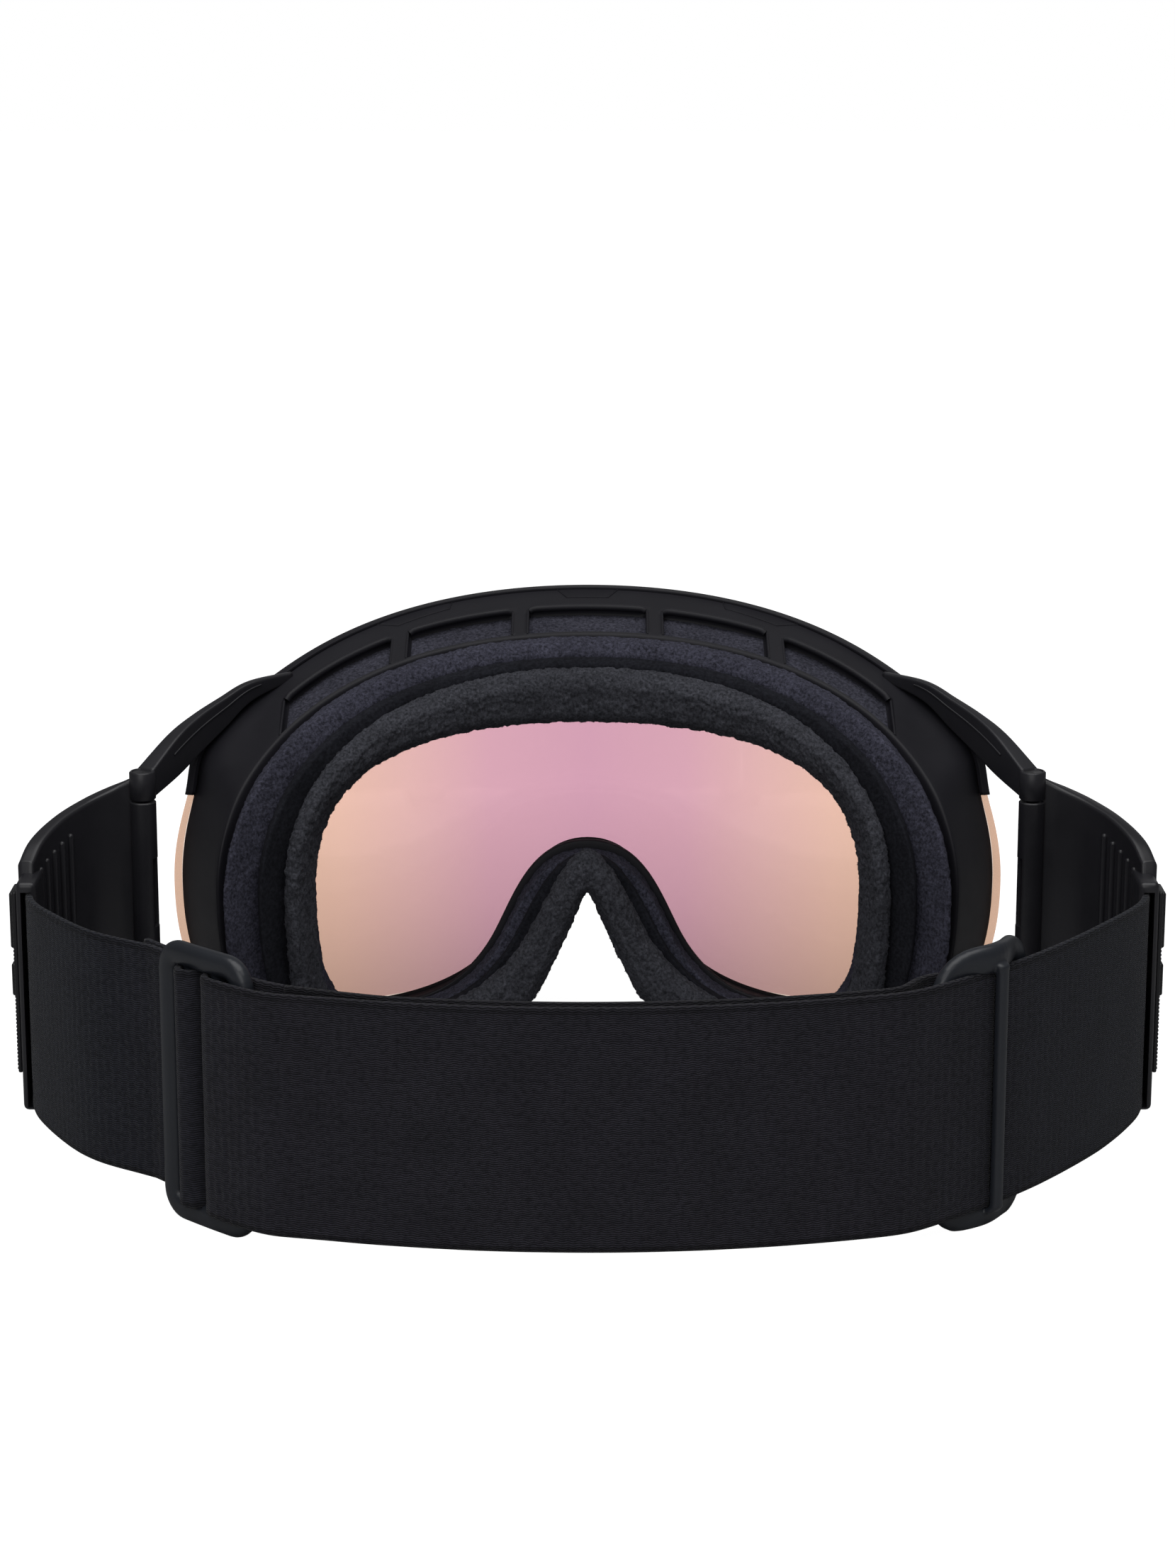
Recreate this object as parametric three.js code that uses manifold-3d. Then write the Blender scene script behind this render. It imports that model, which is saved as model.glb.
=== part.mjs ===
// Ski goggles with hinged outriggers, a double strap, a fixed buckle and a sliding buckle.
// Millimetres, +Z up. The lens faces -Y and the strap closes at +Y. Left means +X, the wearer's left.
import * as THREE from "three";
import { mergeVertices } from "three/addons/utils/BufferGeometryUtils.js";
import Module from "manifold-3d";

const wasm = await Module();
wasm.setup();

// Driving sizes
const gap = 0.3;
const frameTop = 96.7;
const frameHalfWidth = 89.2;
const widestZ = 40.7;
const overallHalfDepth = 90;
const lensCentreY = 18;
const frameSetback = 2.6;
const wall = 2;
const foamThickness = { glue: 0.9, base: 8, middle: 3 };
const strapWidth = 48;
const strapThickness = 1.6;
const strapBottom = 3.7;
const barRadius = 1.7;
const hinge = { x: 95, y: -24, middleZ: 42.3, halfHeight: 26.6, knuckle: 6.3, radius: 2.8, pin: 1.2 };
const boxHalfWidth = 2.7;

const strapTop = strapBottom + strapWidth;
const strapHalf = strapThickness / 2;
const bandClearance = 0.45;
const wrapRadius = barRadius + bandClearance + strapHalf;
const lensRadius = overallHalfDepth + lensCentreY;

// ---- solids ----

function solidOf(geometry) {
  const bare = geometry.index ? geometry.toNonIndexed() : geometry.clone();
  bare.deleteAttribute("normal");
  bare.deleteAttribute("uv");
  const merged = mergeVertices(bare, 1e-4);
  return new wasm.Manifold(
    new wasm.Mesh({
      numProp: 3,
      vertProperties: merged.attributes.position.array,
      triVerts: new Uint32Array(merged.index.array),
    }),
  );
}

function geometryOf(solid) {
  const mesh = solid.getMesh();
  const geometry = new THREE.BufferGeometry();
  geometry.setAttribute("position", new THREE.BufferAttribute(mesh.vertProperties, 3));
  geometry.setIndex(new THREE.BufferAttribute(mesh.triVerts, 1));
  geometry.computeVertexNormals();
  return geometry;
}

const joined = (first, ...rest) => geometryOf(rest.reduce((sum, g) => sum.add(solidOf(g)), solidOf(first)));
const cut = (body, ...tools) => geometryOf(tools.reduce((left, g) => left.subtract(solidOf(g)), solidOf(body)));

function signedVolume(corners) {
  let sum = 0;
  for (let i = 0; i < corners.length; i += 3) {
    sum += corners[i].dot(new THREE.Vector3().crossVectors(corners[i + 1], corners[i + 2]));
  }
  return sum / 6;
}

// Joins sections that hold equally many points. A ringed loft closes on its first section;
// an open one is capped at each end by a fan about the section's middle.
function loft(sections, ringed = false) {
  const corners = [];
  const count = sections[0].length;
  const spans = ringed ? sections.length : sections.length - 1;
  const at = (i, k) => sections[i % sections.length][k % count];
  for (let i = 0; i < spans; i++) {
    for (let k = 0; k < count; k++) {
      corners.push(at(i, k), at(i + 1, k), at(i + 1, k + 1));
      corners.push(at(i, k), at(i + 1, k + 1), at(i, k + 1));
    }
  }
  if (!ringed) {
    for (const [section, turned] of [[sections[0], false], [sections.at(-1), true]]) {
      const middle = section.reduce((sum, p) => sum.add(p), new THREE.Vector3()).divideScalar(count);
      section.forEach((p, k) => {
        const next = section[(k + 1) % count];
        corners.push(middle, turned ? next : p, turned ? p : next);
      });
    }
  }
  if (signedVolume(corners) < 0) {
    for (let i = 0; i < corners.length; i += 3) {
      [corners[i + 1], corners[i + 2]] = [corners[i + 2], corners[i + 1]];
    }
  }
  return new THREE.BufferGeometry().setFromPoints(corners);
}

// A body that runs round the face: each outline is one edge of its section.
const ringBody = (outlines) => loft(outlines[0].map((_, i) => outlines.map((line) => line[i])), true);
const stripBody = (outlines) => loft(outlines[0].map((_, i) => outlines.map((line) => line[i])));

function upright(radius, x, y, bottom, top, sides = 20) {
  const geometry = new THREE.CylinderGeometry(radius, radius, top - bottom, sides);
  geometry.rotateX(Math.PI / 2);
  return geometry.translate(x, y, (top + bottom) / 2);
}

function block(x, y, z) {
  const geometry = new THREE.BoxGeometry(x[1] - x[0], y[1] - y[0], z[1] - z[0]);
  return geometry.translate((x[0] + x[1]) / 2, (y[0] + y[1]) / 2, (z[0] + z[1]) / 2);
}

// ---- mask outlines ----

// Half an outline: nose arch, flank beside the nose, lower lobe, widest side and brow.
// The last four values are curve handles, each a share of its stretch.
const masks = {
  frameFront: { nose: 33.7, flank: [17, 14.7], lobe: [48, 0], side: [frameHalfWidth, widestZ], top: frameTop, brow: 0.51 },
  frameRear: { nose: 37.2, flank: [17.5, 20.7], lobe: [46, 0], side: [79.4, 41.7], top: 90.1 },
  opening: { nose: 42.4, flank: [20.8, 22], lobe: [42, 7.6], side: [62.5, 40.7], top: 76.7 },
  lens: { nose: 31.7, flank: [16.5, 12.7], lobe: [48, 0.6], side: [90.3, widestZ], top: 94.6, brow: 0.51 },
  innerLens: { nose: 37.2, flank: [20.6, 15.6], lobe: [48, 3.2], side: [84.6, widestZ], top: 89.4, brow: 0.51 },
  rim: { nose: 31.7, flank: [16.5, 12.7], lobe: [48, 0.6], side: [91.2, widestZ], top: frameTop, brow: 0.5 },
  base: { nose: 36.7, flank: [14.5, 18.7], lobe: [45, 0.8], side: [77.8, 41.7], top: 89.2 },
  middle: { nose: 34.7, flank: [12.5, 15.7], lobe: [43, 1.7], side: [70.6, 41.7], top: 86.6 },
  contact: { nose: 33.2, flank: [10.5, 11.7], lobe: [38, 2.4], side: [64.7, 42.7], top: 86.1, cheek: 0.89, jowl: 0.86 },
  sight: {
    nose: 43.3, flank: [21.4, 24.7], lobe: [40, 8.5], side: [58.9, 39.7], top: 73.2,
    shoulder: 0.72, brow: 0.83, cheek: 0.88, jowl: 0.8,
  },
};
const handles = { shoulder: 0.79, brow: 0.535, cheek: 0.83, jowl: 0.67 };
const noseSlope = new THREE.Vector2(0.45, -0.89);
const pieceSteps = [4, 4, 8, 14];

function grown(mask, by) {
  return {
    ...mask,
    nose: mask.nose - by,
    flank: [mask.flank[0] - 0.9 * by, mask.flank[1] - 0.4 * by],
    lobe: [mask.lobe[0], mask.lobe[1] - by],
    side: [mask.side[0] + by, mask.side[1]],
    top: mask.top + by,
  };
}

function maskCurves(mask) {
  const { nose, flank, lobe, side, top, shoulder, brow, cheek, jowl } = { ...handles, ...mask };
  const v = (x, z) => new THREE.Vector2(x, z);
  const apex = v(0, nose);
  const beside = v(...flank);
  const low = v(...lobe);
  const wide = v(...side);
  const archReach = (nose - flank[1]) * 0.5;
  const footReach = (flank[1] - lobe[1]) * 0.6;
  return [
    [apex, v(flank[0] * 0.6, nose), beside.clone().addScaledVector(noseSlope, -archReach), beside],
    [beside, beside.clone().addScaledVector(noseSlope, footReach), v((flank[0] + lobe[0]) / 2, lobe[1]), low],
    [low, v(THREE.MathUtils.lerp(lobe[0], side[0], jowl), lobe[1]), v(side[0], THREE.MathUtils.lerp(side[1], lobe[1], cheek)), wide],
    [wide, v(side[0], THREE.MathUtils.lerp(side[1], top, shoulder)), v(side[0] * brow, top), v(0, top)],
  ].map((points) => new THREE.CubicBezierCurve(...points));
}

// Plan curves: the Y of a surface at a given x, an arc about a point on the Y axis.
const planArc = (radius, centreY) => (x) => centreY - Math.sqrt(radius ** 2 - x ** 2);
const lensPlan = (inward) => planArc(lensRadius - inward, lensCentreY);
const flangePlan = (back) => planArc(94 - back, 28);
const contactPlan = (forward) => planArc(82 + forward, 34);

const place = (point, plan) => new THREE.Vector3(point.x, plan(point.x), point.y);
const mirrored = (points) => points.map((p) => new THREE.Vector3(-p.x, p.y, p.z));

function outline(mask, plan, shrink = 1) {
  const centreZ = 68;
  const half = maskCurves(mask).flatMap((curve, i) => curve.getPoints(pieceSteps[i]).slice(i ? 1 : 0));
  const points = half.map((p) => {
    const scaled = new THREE.Vector2(p.x * shrink, centreZ + (p.y - centreZ) * shrink);
    return place(scaled, plan);
  });
  return [...points, ...mirrored(points.slice(1, -1)).reverse()];
}

// The part of an outline over the brow, between the two points that lie at share t of the side curve.
function browLine(mask, plan, t, steps = 16) {
  const curve = maskCurves(mask)[3];
  const right = Array.from({ length: steps + 1 }, (_, i) => {
    return place(curve.getPoint(THREE.MathUtils.lerp(t, 1, i / steps)), plan);
  });
  return [...right, ...mirrored(right.slice(0, -1)).reverse()];
}

function heightAt(mask, x, pieceIndex) {
  const curve = maskCurves(mask)[pieceIndex];
  const rising = curve.getPoint(1).x > curve.getPoint(0).x;
  let [low, high] = [0, 1];
  for (let i = 0; i < 30; i++) {
    const t = (low + high) / 2;
    if (curve.getPoint(t).x < Math.abs(x) === rising) low = t;
    else high = t;
  }
  return curve.getPoint((low + high) / 2).y;
}

// A point on the frame's wall: along runs from the front edge (0) to the rear edge (1),
// out is the distance from the outer surface. Piece 3 is the brow and piece 2 the lower lobe.
function wallPoint(x, along, out, pieceIndex = 3) {
  const edge = (at, share) => {
    const front = new THREE.Vector3(at, frontPlan(at), heightAt(masks.frameFront, at, pieceIndex));
    const rear = new THREE.Vector3(at, rearPlan(at), heightAt(masks.frameRear, at, pieceIndex));
    return front.lerp(rear, share);
  };
  const tangent = edge(x + 0.5, along).sub(edge(x - 0.5, along));
  const normal = tangent.cross(edge(x, 1).sub(edge(x, 0))).normalize();
  if (normal.z < 0 === (pieceIndex === 3)) normal.negate();
  return edge(x, along).addScaledVector(normal, out);
}

// A bar that lies in the frame's wall between two x values.
function wallBar(xs, alongs, outs, pieceIndex = 3, steps = 7) {
  const sections = [];
  for (let i = 0; i <= steps; i++) {
    const x = THREE.MathUtils.lerp(xs[0], xs[1], i / steps);
    const corner = (a, o) => wallPoint(x, alongs[a], outs[o], pieceIndex);
    sections.push([corner(0, 0), corner(1, 0), corner(1, 1), corner(0, 1)]);
  }
  return loft(sections);
}

// ---- frame ----

const frontPlan = lensPlan(frameSetback);
const rearPlan = flangePlan(0);
const topVents = [[-66.8, -43.6], [-40.2, -16.8], [-13.4, 13.4], [16.8, 40.2], [43.6, 66.8]];
const lowerVents = [[-73, -64], [-61, -52], [52, 61], [64, 73]];
const rimTabs = [[-47.5, -34.5], [-7.4, 7.4], [34.5, 47.5]];
const ventAlong = [0.46, 0.86];

function frameShell() {
  const body = ringBody([
    outline(masks.frameFront, frontPlan),
    outline(masks.frameRear, rearPlan),
    outline(masks.opening, rearPlan),
    outline(masks.opening, flangePlan(-wall)),
    outline(grown(masks.frameRear, -wall), flangePlan(-wall)),
    outline(grown(masks.frameFront, -wall), frontPlan),
  ]);
  const windows = topVents.map((xs) => wallBar(xs, ventAlong, [-4, 3]));
  const lowerWindows = lowerVents.map((xs) => wallBar(xs, [0.3, 0.75], [-3.5, 3], 2, 3));
  const recesses = rimTabs.map(([from, to]) => wallBar([from - gap, to + gap], [-0.1, 0.215], [-1.3, 1]));
  return cut(body, ...windows, ...lowerWindows, ...recesses);
}

// Holds the upper edge of the lens. Three tabs reach back over the frame's wall.
function browRim() {
  const hookAt = 0.16;
  const inner = grown(masks.lens, gap);
  const band = stripBody([
    browLine(masks.rim, lensPlan(0), hookAt),
    browLine(masks.rim, lensPlan(frameSetback - gap), hookAt),
    browLine(inner, lensPlan(frameSetback - gap), hookAt),
    browLine(inner, lensPlan(0), hookAt),
  ]);
  return joined(band, ...rimTabs.map((xs) => wallBar(xs, [-0.05, 0.2], [-1, 0])));
}

// ---- lenses ----

function lensSheet(mask, frontInset, thickness) {
  const rings = [0.1, 0.3, 0.5, 0.7, 0.85, 1];
  const front = rings.map((s) => outline(mask, lensPlan(frontInset), s));
  const back = rings.map((s) => outline(mask, lensPlan(frontInset + thickness), s));
  return loft([...front, ...back.reverse()]);
}

function lensSpacer() {
  const [outer, inner] = [masks.innerLens, grown(masks.innerLens, -1.8)];
  const [front, back] = [lensPlan(2.6), lensPlan(4.5)];
  return ringBody([outline(outer, front), outline(outer, back), outline(inner, back), outline(inner, front)]);
}

// ---- foam ----

function foamBase() {
  const { base, middle, sight } = masks;
  const deep = foamThickness.base;
  const hole = grown(sight, 1);
  return ringBody([
    outline(base, flangePlan(foamThickness.glue)),
    outline(base, flangePlan(deep - 2)),
    outline(middle, flangePlan(deep)),
    outline(hole, flangePlan(deep)),
    outline(hole, flangePlan(foamThickness.glue)),
  ]);
}

function foamMiddle() {
  const { middle, contact, sight } = masks;
  const front = foamThickness.base + gap;
  const back = front + foamThickness.middle;
  const hole = grown(sight, 0.5);
  return ringBody([
    outline(grown(middle, -0.4), flangePlan(front)),
    outline(grown(middle, -1.2), flangePlan(back - 0.6)),
    outline(contact, flangePlan(back)),
    outline(hole, flangePlan(back)),
    outline(hole, flangePlan(front)),
  ]);
}

function foamContact() {
  const { contact, sight } = masks;
  const front = flangePlan(foamThickness.base + foamThickness.middle + 2 * gap);
  return ringBody([
    outline(grown(contact, -0.3), front),
    outline(contact, contactPlan(3)),
    outline(grown(contact, -2.5), contactPlan(0)),
    outline(grown(sight, 2), contactPlan(0.3)),
    outline(sight, contactPlan(3)),
    outline(sight, front),
  ]);
}

const topVentFoam = () => wallBar([-68, 68], [0.42, 0.8], [-5, -wall - 1.3], 3, 28);
const lowerVentFoam = (side) => wallBar([side * 50, side * 74], [0.28, 0.74], [-4.6, -wall - 0.9], 2, 6);

// ---- strap route: s is the length from the back's middle and w the distance outwards ----

const degrees = Math.PI / 180;
const strapArcs = [
  { radius: 195, turn: 17 * degrees },
  { radius: 20, turn: 22.5 * degrees },
  { radius: 195, turn: 24.3 * degrees },
  { radius: 8, turn: 26.2 * degrees },
];
const arcStarts = strapArcs.reduce((starts, arc) => [...starts, starts.at(-1) + arc.radius * arc.turn], [0]);
const sideStart = arcStarts[2];
const sideEnd = arcStarts[3];
const strapBackY = overallHalfDepth - strapHalf;

function strapPoint(s, w = 0) {
  let [x, y, heading] = [0, strapBackY, 0];
  let rest = Math.abs(s);
  for (const { radius, turn } of strapArcs) {
    const part = Math.min(rest / radius, turn);
    x += radius * (Math.sin(heading + part) - Math.sin(heading));
    y += radius * (Math.cos(heading + part) - Math.cos(heading));
    heading += part;
    rest -= part * radius;
  }
  x += rest * Math.cos(heading) + w * Math.sin(heading);
  y += -rest * Math.sin(heading) + w * Math.cos(heading);
  return new THREE.Vector2(s < 0 ? -x : x, y);
}

// ---- hinged outriggers, drawn on the left and mirrored for the right ----

// A solid just larger than the frame's outer surface, which the arms keep clear of.
function frameEnvelope() {
  const clear = 0.4;
  const spread = (mask, plan) => [0.3, 1].map((s) => outline(grown(mask, clear), plan, s));
  return loft([...spread(masks.frameFront, lensPlan(-6)), outline(grown(masks.frameFront, clear), frontPlan),
    ...spread(masks.frameRear, flangePlan(6)).reverse()]);
}

// An arm of rectangular section along a route; each stop is x, y, z, half thickness and half height.
function arm(stops) {
  const route = new THREE.CatmullRomCurve3(stops.map(([x, y, z]) => new THREE.Vector3(x, y, z)));
  const steps = 3 * (stops.length - 1);
  const sections = Array.from({ length: steps + 1 }, (_, i) => {
    const t = i / steps;
    const stop = Math.min(Math.floor(t * (stops.length - 1)), stops.length - 2);
    const share = t * (stops.length - 1) - stop;
    const [thick, high] = [3, 4].map((k) => THREE.MathUtils.lerp(stops[stop][k], stops[stop + 1][k], share));
    const heading = route.getTangent(t);
    const across = new THREE.Vector3(heading.y, -heading.x, 0).normalize();
    const point = route.getPoint(t);
    return [[1, 1], [1, -1], [-1, -1], [-1, 1]].map(([a, b]) => {
      return point.clone().addScaledVector(across, a * thick).add(new THREE.Vector3(0, 0, b * high));
    });
  });
  return loft(sections);
}

const hingeTop = hinge.middleZ + hinge.halfHeight;
const hingeBottom = hinge.middleZ - hinge.halfHeight;
const pinHole = () => upright(hinge.pin + gap, hinge.x, hinge.y, hingeBottom - 5, hingeTop + 5);

function hingeArm(stops, knuckleBottom) {
  const knuckleTop = knuckleBottom + hinge.knuckle;
  const knuckle = upright(hinge.radius, hinge.x, hinge.y, knuckleBottom, knuckleTop);
  const sinks = [hingeTop - 1.2, hingeBottom - 1].map((z) => upright(2.3, hinge.x, hinge.y, z, z + 2.2));
  return cut(joined(arm(stops), knuckle), frameEnvelope(), pinHole(), ...sinks);
}

const upperArmStops = [
  [66, -61, 81.5, 0.8, 1],
  [74.4, -53.3, 80.6, 1, 1.3],
  [80, -47, 78, 1.1, 1.7],
  [85, -40.7, 75.1, 1.3, 2.1],
  [89.3, -34.2, 70.7, 1.7, 3.5],
  [94.6, -25.5, hingeTop - hinge.knuckle / 2, 2.2, hinge.knuckle / 2],
];
const lowerArmStops = [
  [76, -54, 14.7, 1.4, 2.4],
  [86, -40, 16.7, 1.8, 2.8],
  [94.6, -25.5, hingeBottom + hinge.knuckle / 2, 2.2, hinge.knuckle / 2],
];

function hingePin() {
  const shank = upright(hinge.pin, hinge.x, hinge.y, hingeBottom + 0.2, hingeTop - 0.2);
  const head = upright(2, hinge.x, hinge.y, hingeTop - 0.9, hingeTop - 0.2);
  return joined(shank, head);
}

// The plate sweeps out and back in an S from the hinge sleeve to the strap box.
// Each stop is x, y, top, bottom and half thickness.
const plateStops = [
  [97.2, -24.6, 67.3, 17.2, 0.9],
  [101.5, -23.6, 65.5, 14.7, 1.5],
  [106.6, -19.2, 63.8, 11.2, 1.5],
  [111.4, -12, 61.9, 7.7, 1.5],
  [115, -4.5, 59.1, 4.3, 1.7],
  [116.6, 1.5, 55.7, 2.9, 1.7],
];
const slotX = strapPoint(arcStarts[4]).x;
const boxOuterX = slotX + boxHalfWidth;
const strapBox = { x: [slotX - boxHalfWidth, boxOuterX], y: [-6, 9.2], z: [strapBottom - 1.2, strapTop + 1.7] };
const anchor = { radius: 1.3, y: -3 };

function plate() {
  const route = new THREE.CatmullRomCurve3(plateStops.map(([x, y]) => new THREE.Vector3(x, y, 0)));
  const steps = 3 * (plateStops.length - 1);
  return loft(Array.from({ length: steps + 1 }, (_, i) => {
    const t = i / steps;
    const stop = Math.min(Math.floor(t * (plateStops.length - 1)), plateStops.length - 2);
    const share = t * (plateStops.length - 1) - stop;
    const [top, bottom, thick] = [2, 3, 4].map((k) => {
      return THREE.MathUtils.lerp(plateStops[stop][k], plateStops[stop + 1][k], share);
    });
    const heading = route.getTangent(t);
    const across = new THREE.Vector3(heading.y, -heading.x, 0).normalize();
    const foot = route.getPoint(t);
    return [[1, top], [1, bottom], [-1, bottom], [-1, top]].map(([side, z]) => {
      return foot.clone().addScaledVector(across, side * thick).setZ(z);
    });
  }));
}

function ribs() {
  const route = new THREE.CatmullRomCurve3(plateStops.map(([x, y]) => new THREE.Vector3(x, y, 0)));
  return [0.4, 0.5, 0.6, 0.7, 0.8].map((t) => {
    const foot = route.getPoint(t);
    const heading = route.getTangent(t);
    const inward = new THREE.Vector3(-heading.y, heading.x, 0).normalize();
    const rib = new THREE.BoxGeometry(1.3, 1.6, 34);
    rib.rotateZ(Math.atan2(heading.y, heading.x));
    return rib.translate(foot.x + inward.x * 1.8, foot.y + inward.y * 1.8, hinge.middleZ - 4);
  });
}

function outrigger() {
  const sleeveBottom = hingeBottom + hinge.knuckle + gap;
  const sleeveTop = hingeTop - hinge.knuckle - gap;
  const sleeve = upright(hinge.radius, hinge.x, hinge.y, sleeveBottom, sleeveTop);
  const box = block(strapBox.x, strapBox.y, strapBox.z);
  const slotHalf = strapHalf + gap;
  const slot = block([slotX - slotHalf, slotX + slotHalf], [anchor.y, 12], [strapBottom - gap, strapTop + gap]);
  const pocket = upright(anchor.radius + gap, slotX, anchor.y, strapBottom - gap, strapTop + gap);
  const notch = block([hinge.x - 4, hinge.x - 1.2], [hinge.y - 4, hinge.y + 4],
    [hinge.middleZ - 7.6, hinge.middleZ + 7.6]);
  const knuckleRoom = [[sleeveTop, hingeTop + 2], [hingeBottom - 2, sleeveBottom]].map(([bottom, top]) => {
    return upright(hinge.radius + gap, hinge.x, hinge.y, bottom, top);
  });
  return cut(joined(sleeve, plate(), box, ...ribs()), slot, pocket, notch, pinHole(), ...knuckleRoom);
}

// The strap's end is sewn round this bar, which is wider than the slot it sits behind.
const strapAnchor = () => upright(anchor.radius, slotX, anchor.y, strapBottom, strapTop, 12);

// A plain cover plate with two raised bars on the outer face of the strap box.
function outriggerCover() {
  const x = boxOuterX + gap;
  const sheet = block([x, x + 0.5], [-3, 7.5], [11.7, 48.7]);
  const bars = [[13.7, 27.7], [32.7, 46.7]].map((z) => block([x, x + 1], [-1.5, 6], z));
  return joined(sheet, ...bars);
}

// ---- straps ----

// A band of the strap's full width along a route of plan points.
function ribbon(route) {
  const side = (sign) => route.map((p, i) => {
    const before = p.clone().sub(route[Math.max(i - 1, 0)]).normalize();
    const after = route[Math.min(i + 1, route.length - 1)].clone().sub(p).normalize();
    const heading = before.add(after).normalize();
    return new THREE.Vector2(p.x - heading.y * sign * strapHalf, p.y + heading.x * sign * strapHalf);
  });
  const shape = new THREE.Shape([...side(1), ...side(-1).reverse()]);
  const band = new THREE.ExtrudeGeometry(shape, { depth: strapWidth, bevelEnabled: false });
  return band.translate(0, 0, strapBottom);
}

const stretch = (from, to, w = 0, every = 7) => {
  const steps = Math.max(2, Math.round(Math.abs(to - from) / every));
  return Array.from({ length: steps + 1 }, (_, i) => strapPoint(THREE.MathUtils.lerp(from, to, i / steps), w));
};

// Round a bar at s and w: angles are from the outward direction, positive towards larger s.
function wrap(s, w, fromDegrees, toDegrees, steps = 8) {
  return Array.from({ length: steps + 1 }, (_, i) => {
    const angle = THREE.MathUtils.lerp(fromDegrees, toDegrees, i / steps) * degrees;
    return strapPoint(s + wrapRadius * Math.sin(angle), w + wrapRadius * Math.cos(angle));
  });
}

// The buckles' bars, by s. The left one has an end bar, two that carry the bands, and a bare one.
// Lift is how far inside the strap's line a buckle's loop lies.
const buckle = { near: 69.3, backBand: 76.1, sideBand: 84, far: 90.7, lift: 2.2 };
const slider = { near: 73, middle: 84.2, far: 94.8, lift: wrapRadius };
const innerW = -buckle.lift - wrapRadius;
const returnW = -3.2;
const slotEndY = anchor.y + anchor.radius + gap + 0.2;
const slotEndS = sideEnd + strapArcs[3].radius * strapArcs[3].turn + (strapPoint(arcStarts[4]).y - slotEndY);

// From the left box, behind the bare bar, over the next bar and back along the inside.
function strapLeft() {
  const foldBack = stretch(buckle.sideBand + 5, buckle.sideBand + 22, innerW - strapThickness - gap, 6);
  return ribbon([
    ...stretch(slotEndS, buckle.far + 26, 0, 5),
    ...stretch(buckle.far + 12, buckle.far - 2, innerW, 7),
    strapPoint(buckle.sideBand + wrapRadius * 0.95, 0.4 - buckle.lift),
    ...wrap(buckle.sideBand, -buckle.lift, 60, -140),
    ...foldBack,
  ]);
}

// From the sliding buckle across the back, round its bar of the left buckle and a little way back.
const returnStart = 60;
function strapBack() {
  return ribbon([
    ...stretch(-slider.middle + gap / 2, 50, 0, 7),
    ...stretch(60, buckle.backBand - 1, wrapRadius - buckle.lift, 6),
    ...wrap(buckle.backBand, -buckle.lift, 20, 180),
    ...stretch(buckle.backBand - 3, returnStart, innerW, 5).slice(1),
  ]);
}

// The inner layer, which ends round the near bar of the sliding buckle.
function strapReturn() {
  return ribbon([
    strapPoint(returnStart - gap, innerW),
    strapPoint(50, (innerW + returnW) / 2),
    ...stretch(40, -slider.near + 8, returnW, 7).slice(0, -1),
    strapPoint(-slider.near + 4, -slider.lift - wrapRadius),
    ...Array.from({ length: 7 }, (_, i) => {
      const angle = (180 - 26 * i) * degrees;
      return strapPoint(-slider.near - wrapRadius * Math.sin(angle), -slider.lift + wrapRadius * Math.cos(angle));
    }).slice(0, 4),
  ]);
}

const strapRight = () => ribbon(stretch(-slider.middle - gap / 2, -slotEndS, 0, 5));

// ---- buckles ----

// A round bar along points, closed on itself when ringed.
function roundBar(points, radius, ringed = false, sides = 8) {
  const last = points.length - 1;
  return loft(points.map((p, i) => {
    const before = ringed ? points.at(i - 1) : points[Math.max(i - 1, 0)];
    const after = ringed ? points[(i + 1) % points.length] : points[Math.min(i + 1, last)];
    const heading = after.clone().sub(before).normalize();
    const turn = new THREE.Quaternion().setFromUnitVectors(new THREE.Vector3(0, 0, 1), heading);
    return Array.from({ length: sides }, (_, k) => {
      const angle = (2 * Math.PI * k) / sides;
      const spoke = new THREE.Vector3(radius * Math.cos(angle), radius * Math.sin(angle), 0);
      return spoke.applyQuaternion(turn).add(p);
    });
  }), ringed);
}

const onStrap = (s, w, z) => {
  const plan = strapPoint(s, w);
  return new THREE.Vector3(plan.x, plan.y, z);
};

const buckleTopZ = strapTop + 4.4 - barRadius;
const buckleBottomZ = barRadius;

// The outer loop of a buckle: a rectangle with round corners between two s values.
function buckleLoop(side, near, far, w) {
  const corner = 3.3;
  const steps = 4;
  const centres = [
    [far - corner, buckleTopZ - corner, 0],
    [near + corner, buckleTopZ - corner, 90],
    [near + corner, buckleBottomZ + corner, 180],
    [far - corner, buckleBottomZ + corner, 270],
  ];
  const points = centres.flatMap(([s, z, start]) => Array.from({ length: steps + 1 }, (_, i) => {
    const angle = (start + (90 * i) / steps) * degrees;
    return onStrap(side * (s + corner * Math.cos(angle)), w, z + corner * Math.sin(angle));
  }));
  return roundBar(points, barRadius, true);
}

// An inner bar; its ends bend to the depth of the loop.
function crossBar(side, s, w, loopW) {
  const ends = [[buckleTopZ, loopW], [strapTop + 1.4, w], [strapBottom - 1.4, w], [buckleBottomZ, loopW]];
  return roundBar(ends.map(([z, depth]) => onStrap(side * s, depth, z)), barRadius);
}

const leftBuckle = () => joined(
  buckleLoop(1, buckle.near, buckle.far, -buckle.lift),
  crossBar(1, buckle.backBand, -buckle.lift, -buckle.lift),
  crossBar(1, buckle.sideBand, -buckle.lift, -buckle.lift),
);
const slidingBuckle = () => joined(
  buckleLoop(-1, slider.near, slider.far, -slider.lift),
  crossBar(-1, slider.middle, slider.lift, -slider.lift),
);

// ---- materials and the assembled group ----

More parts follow.
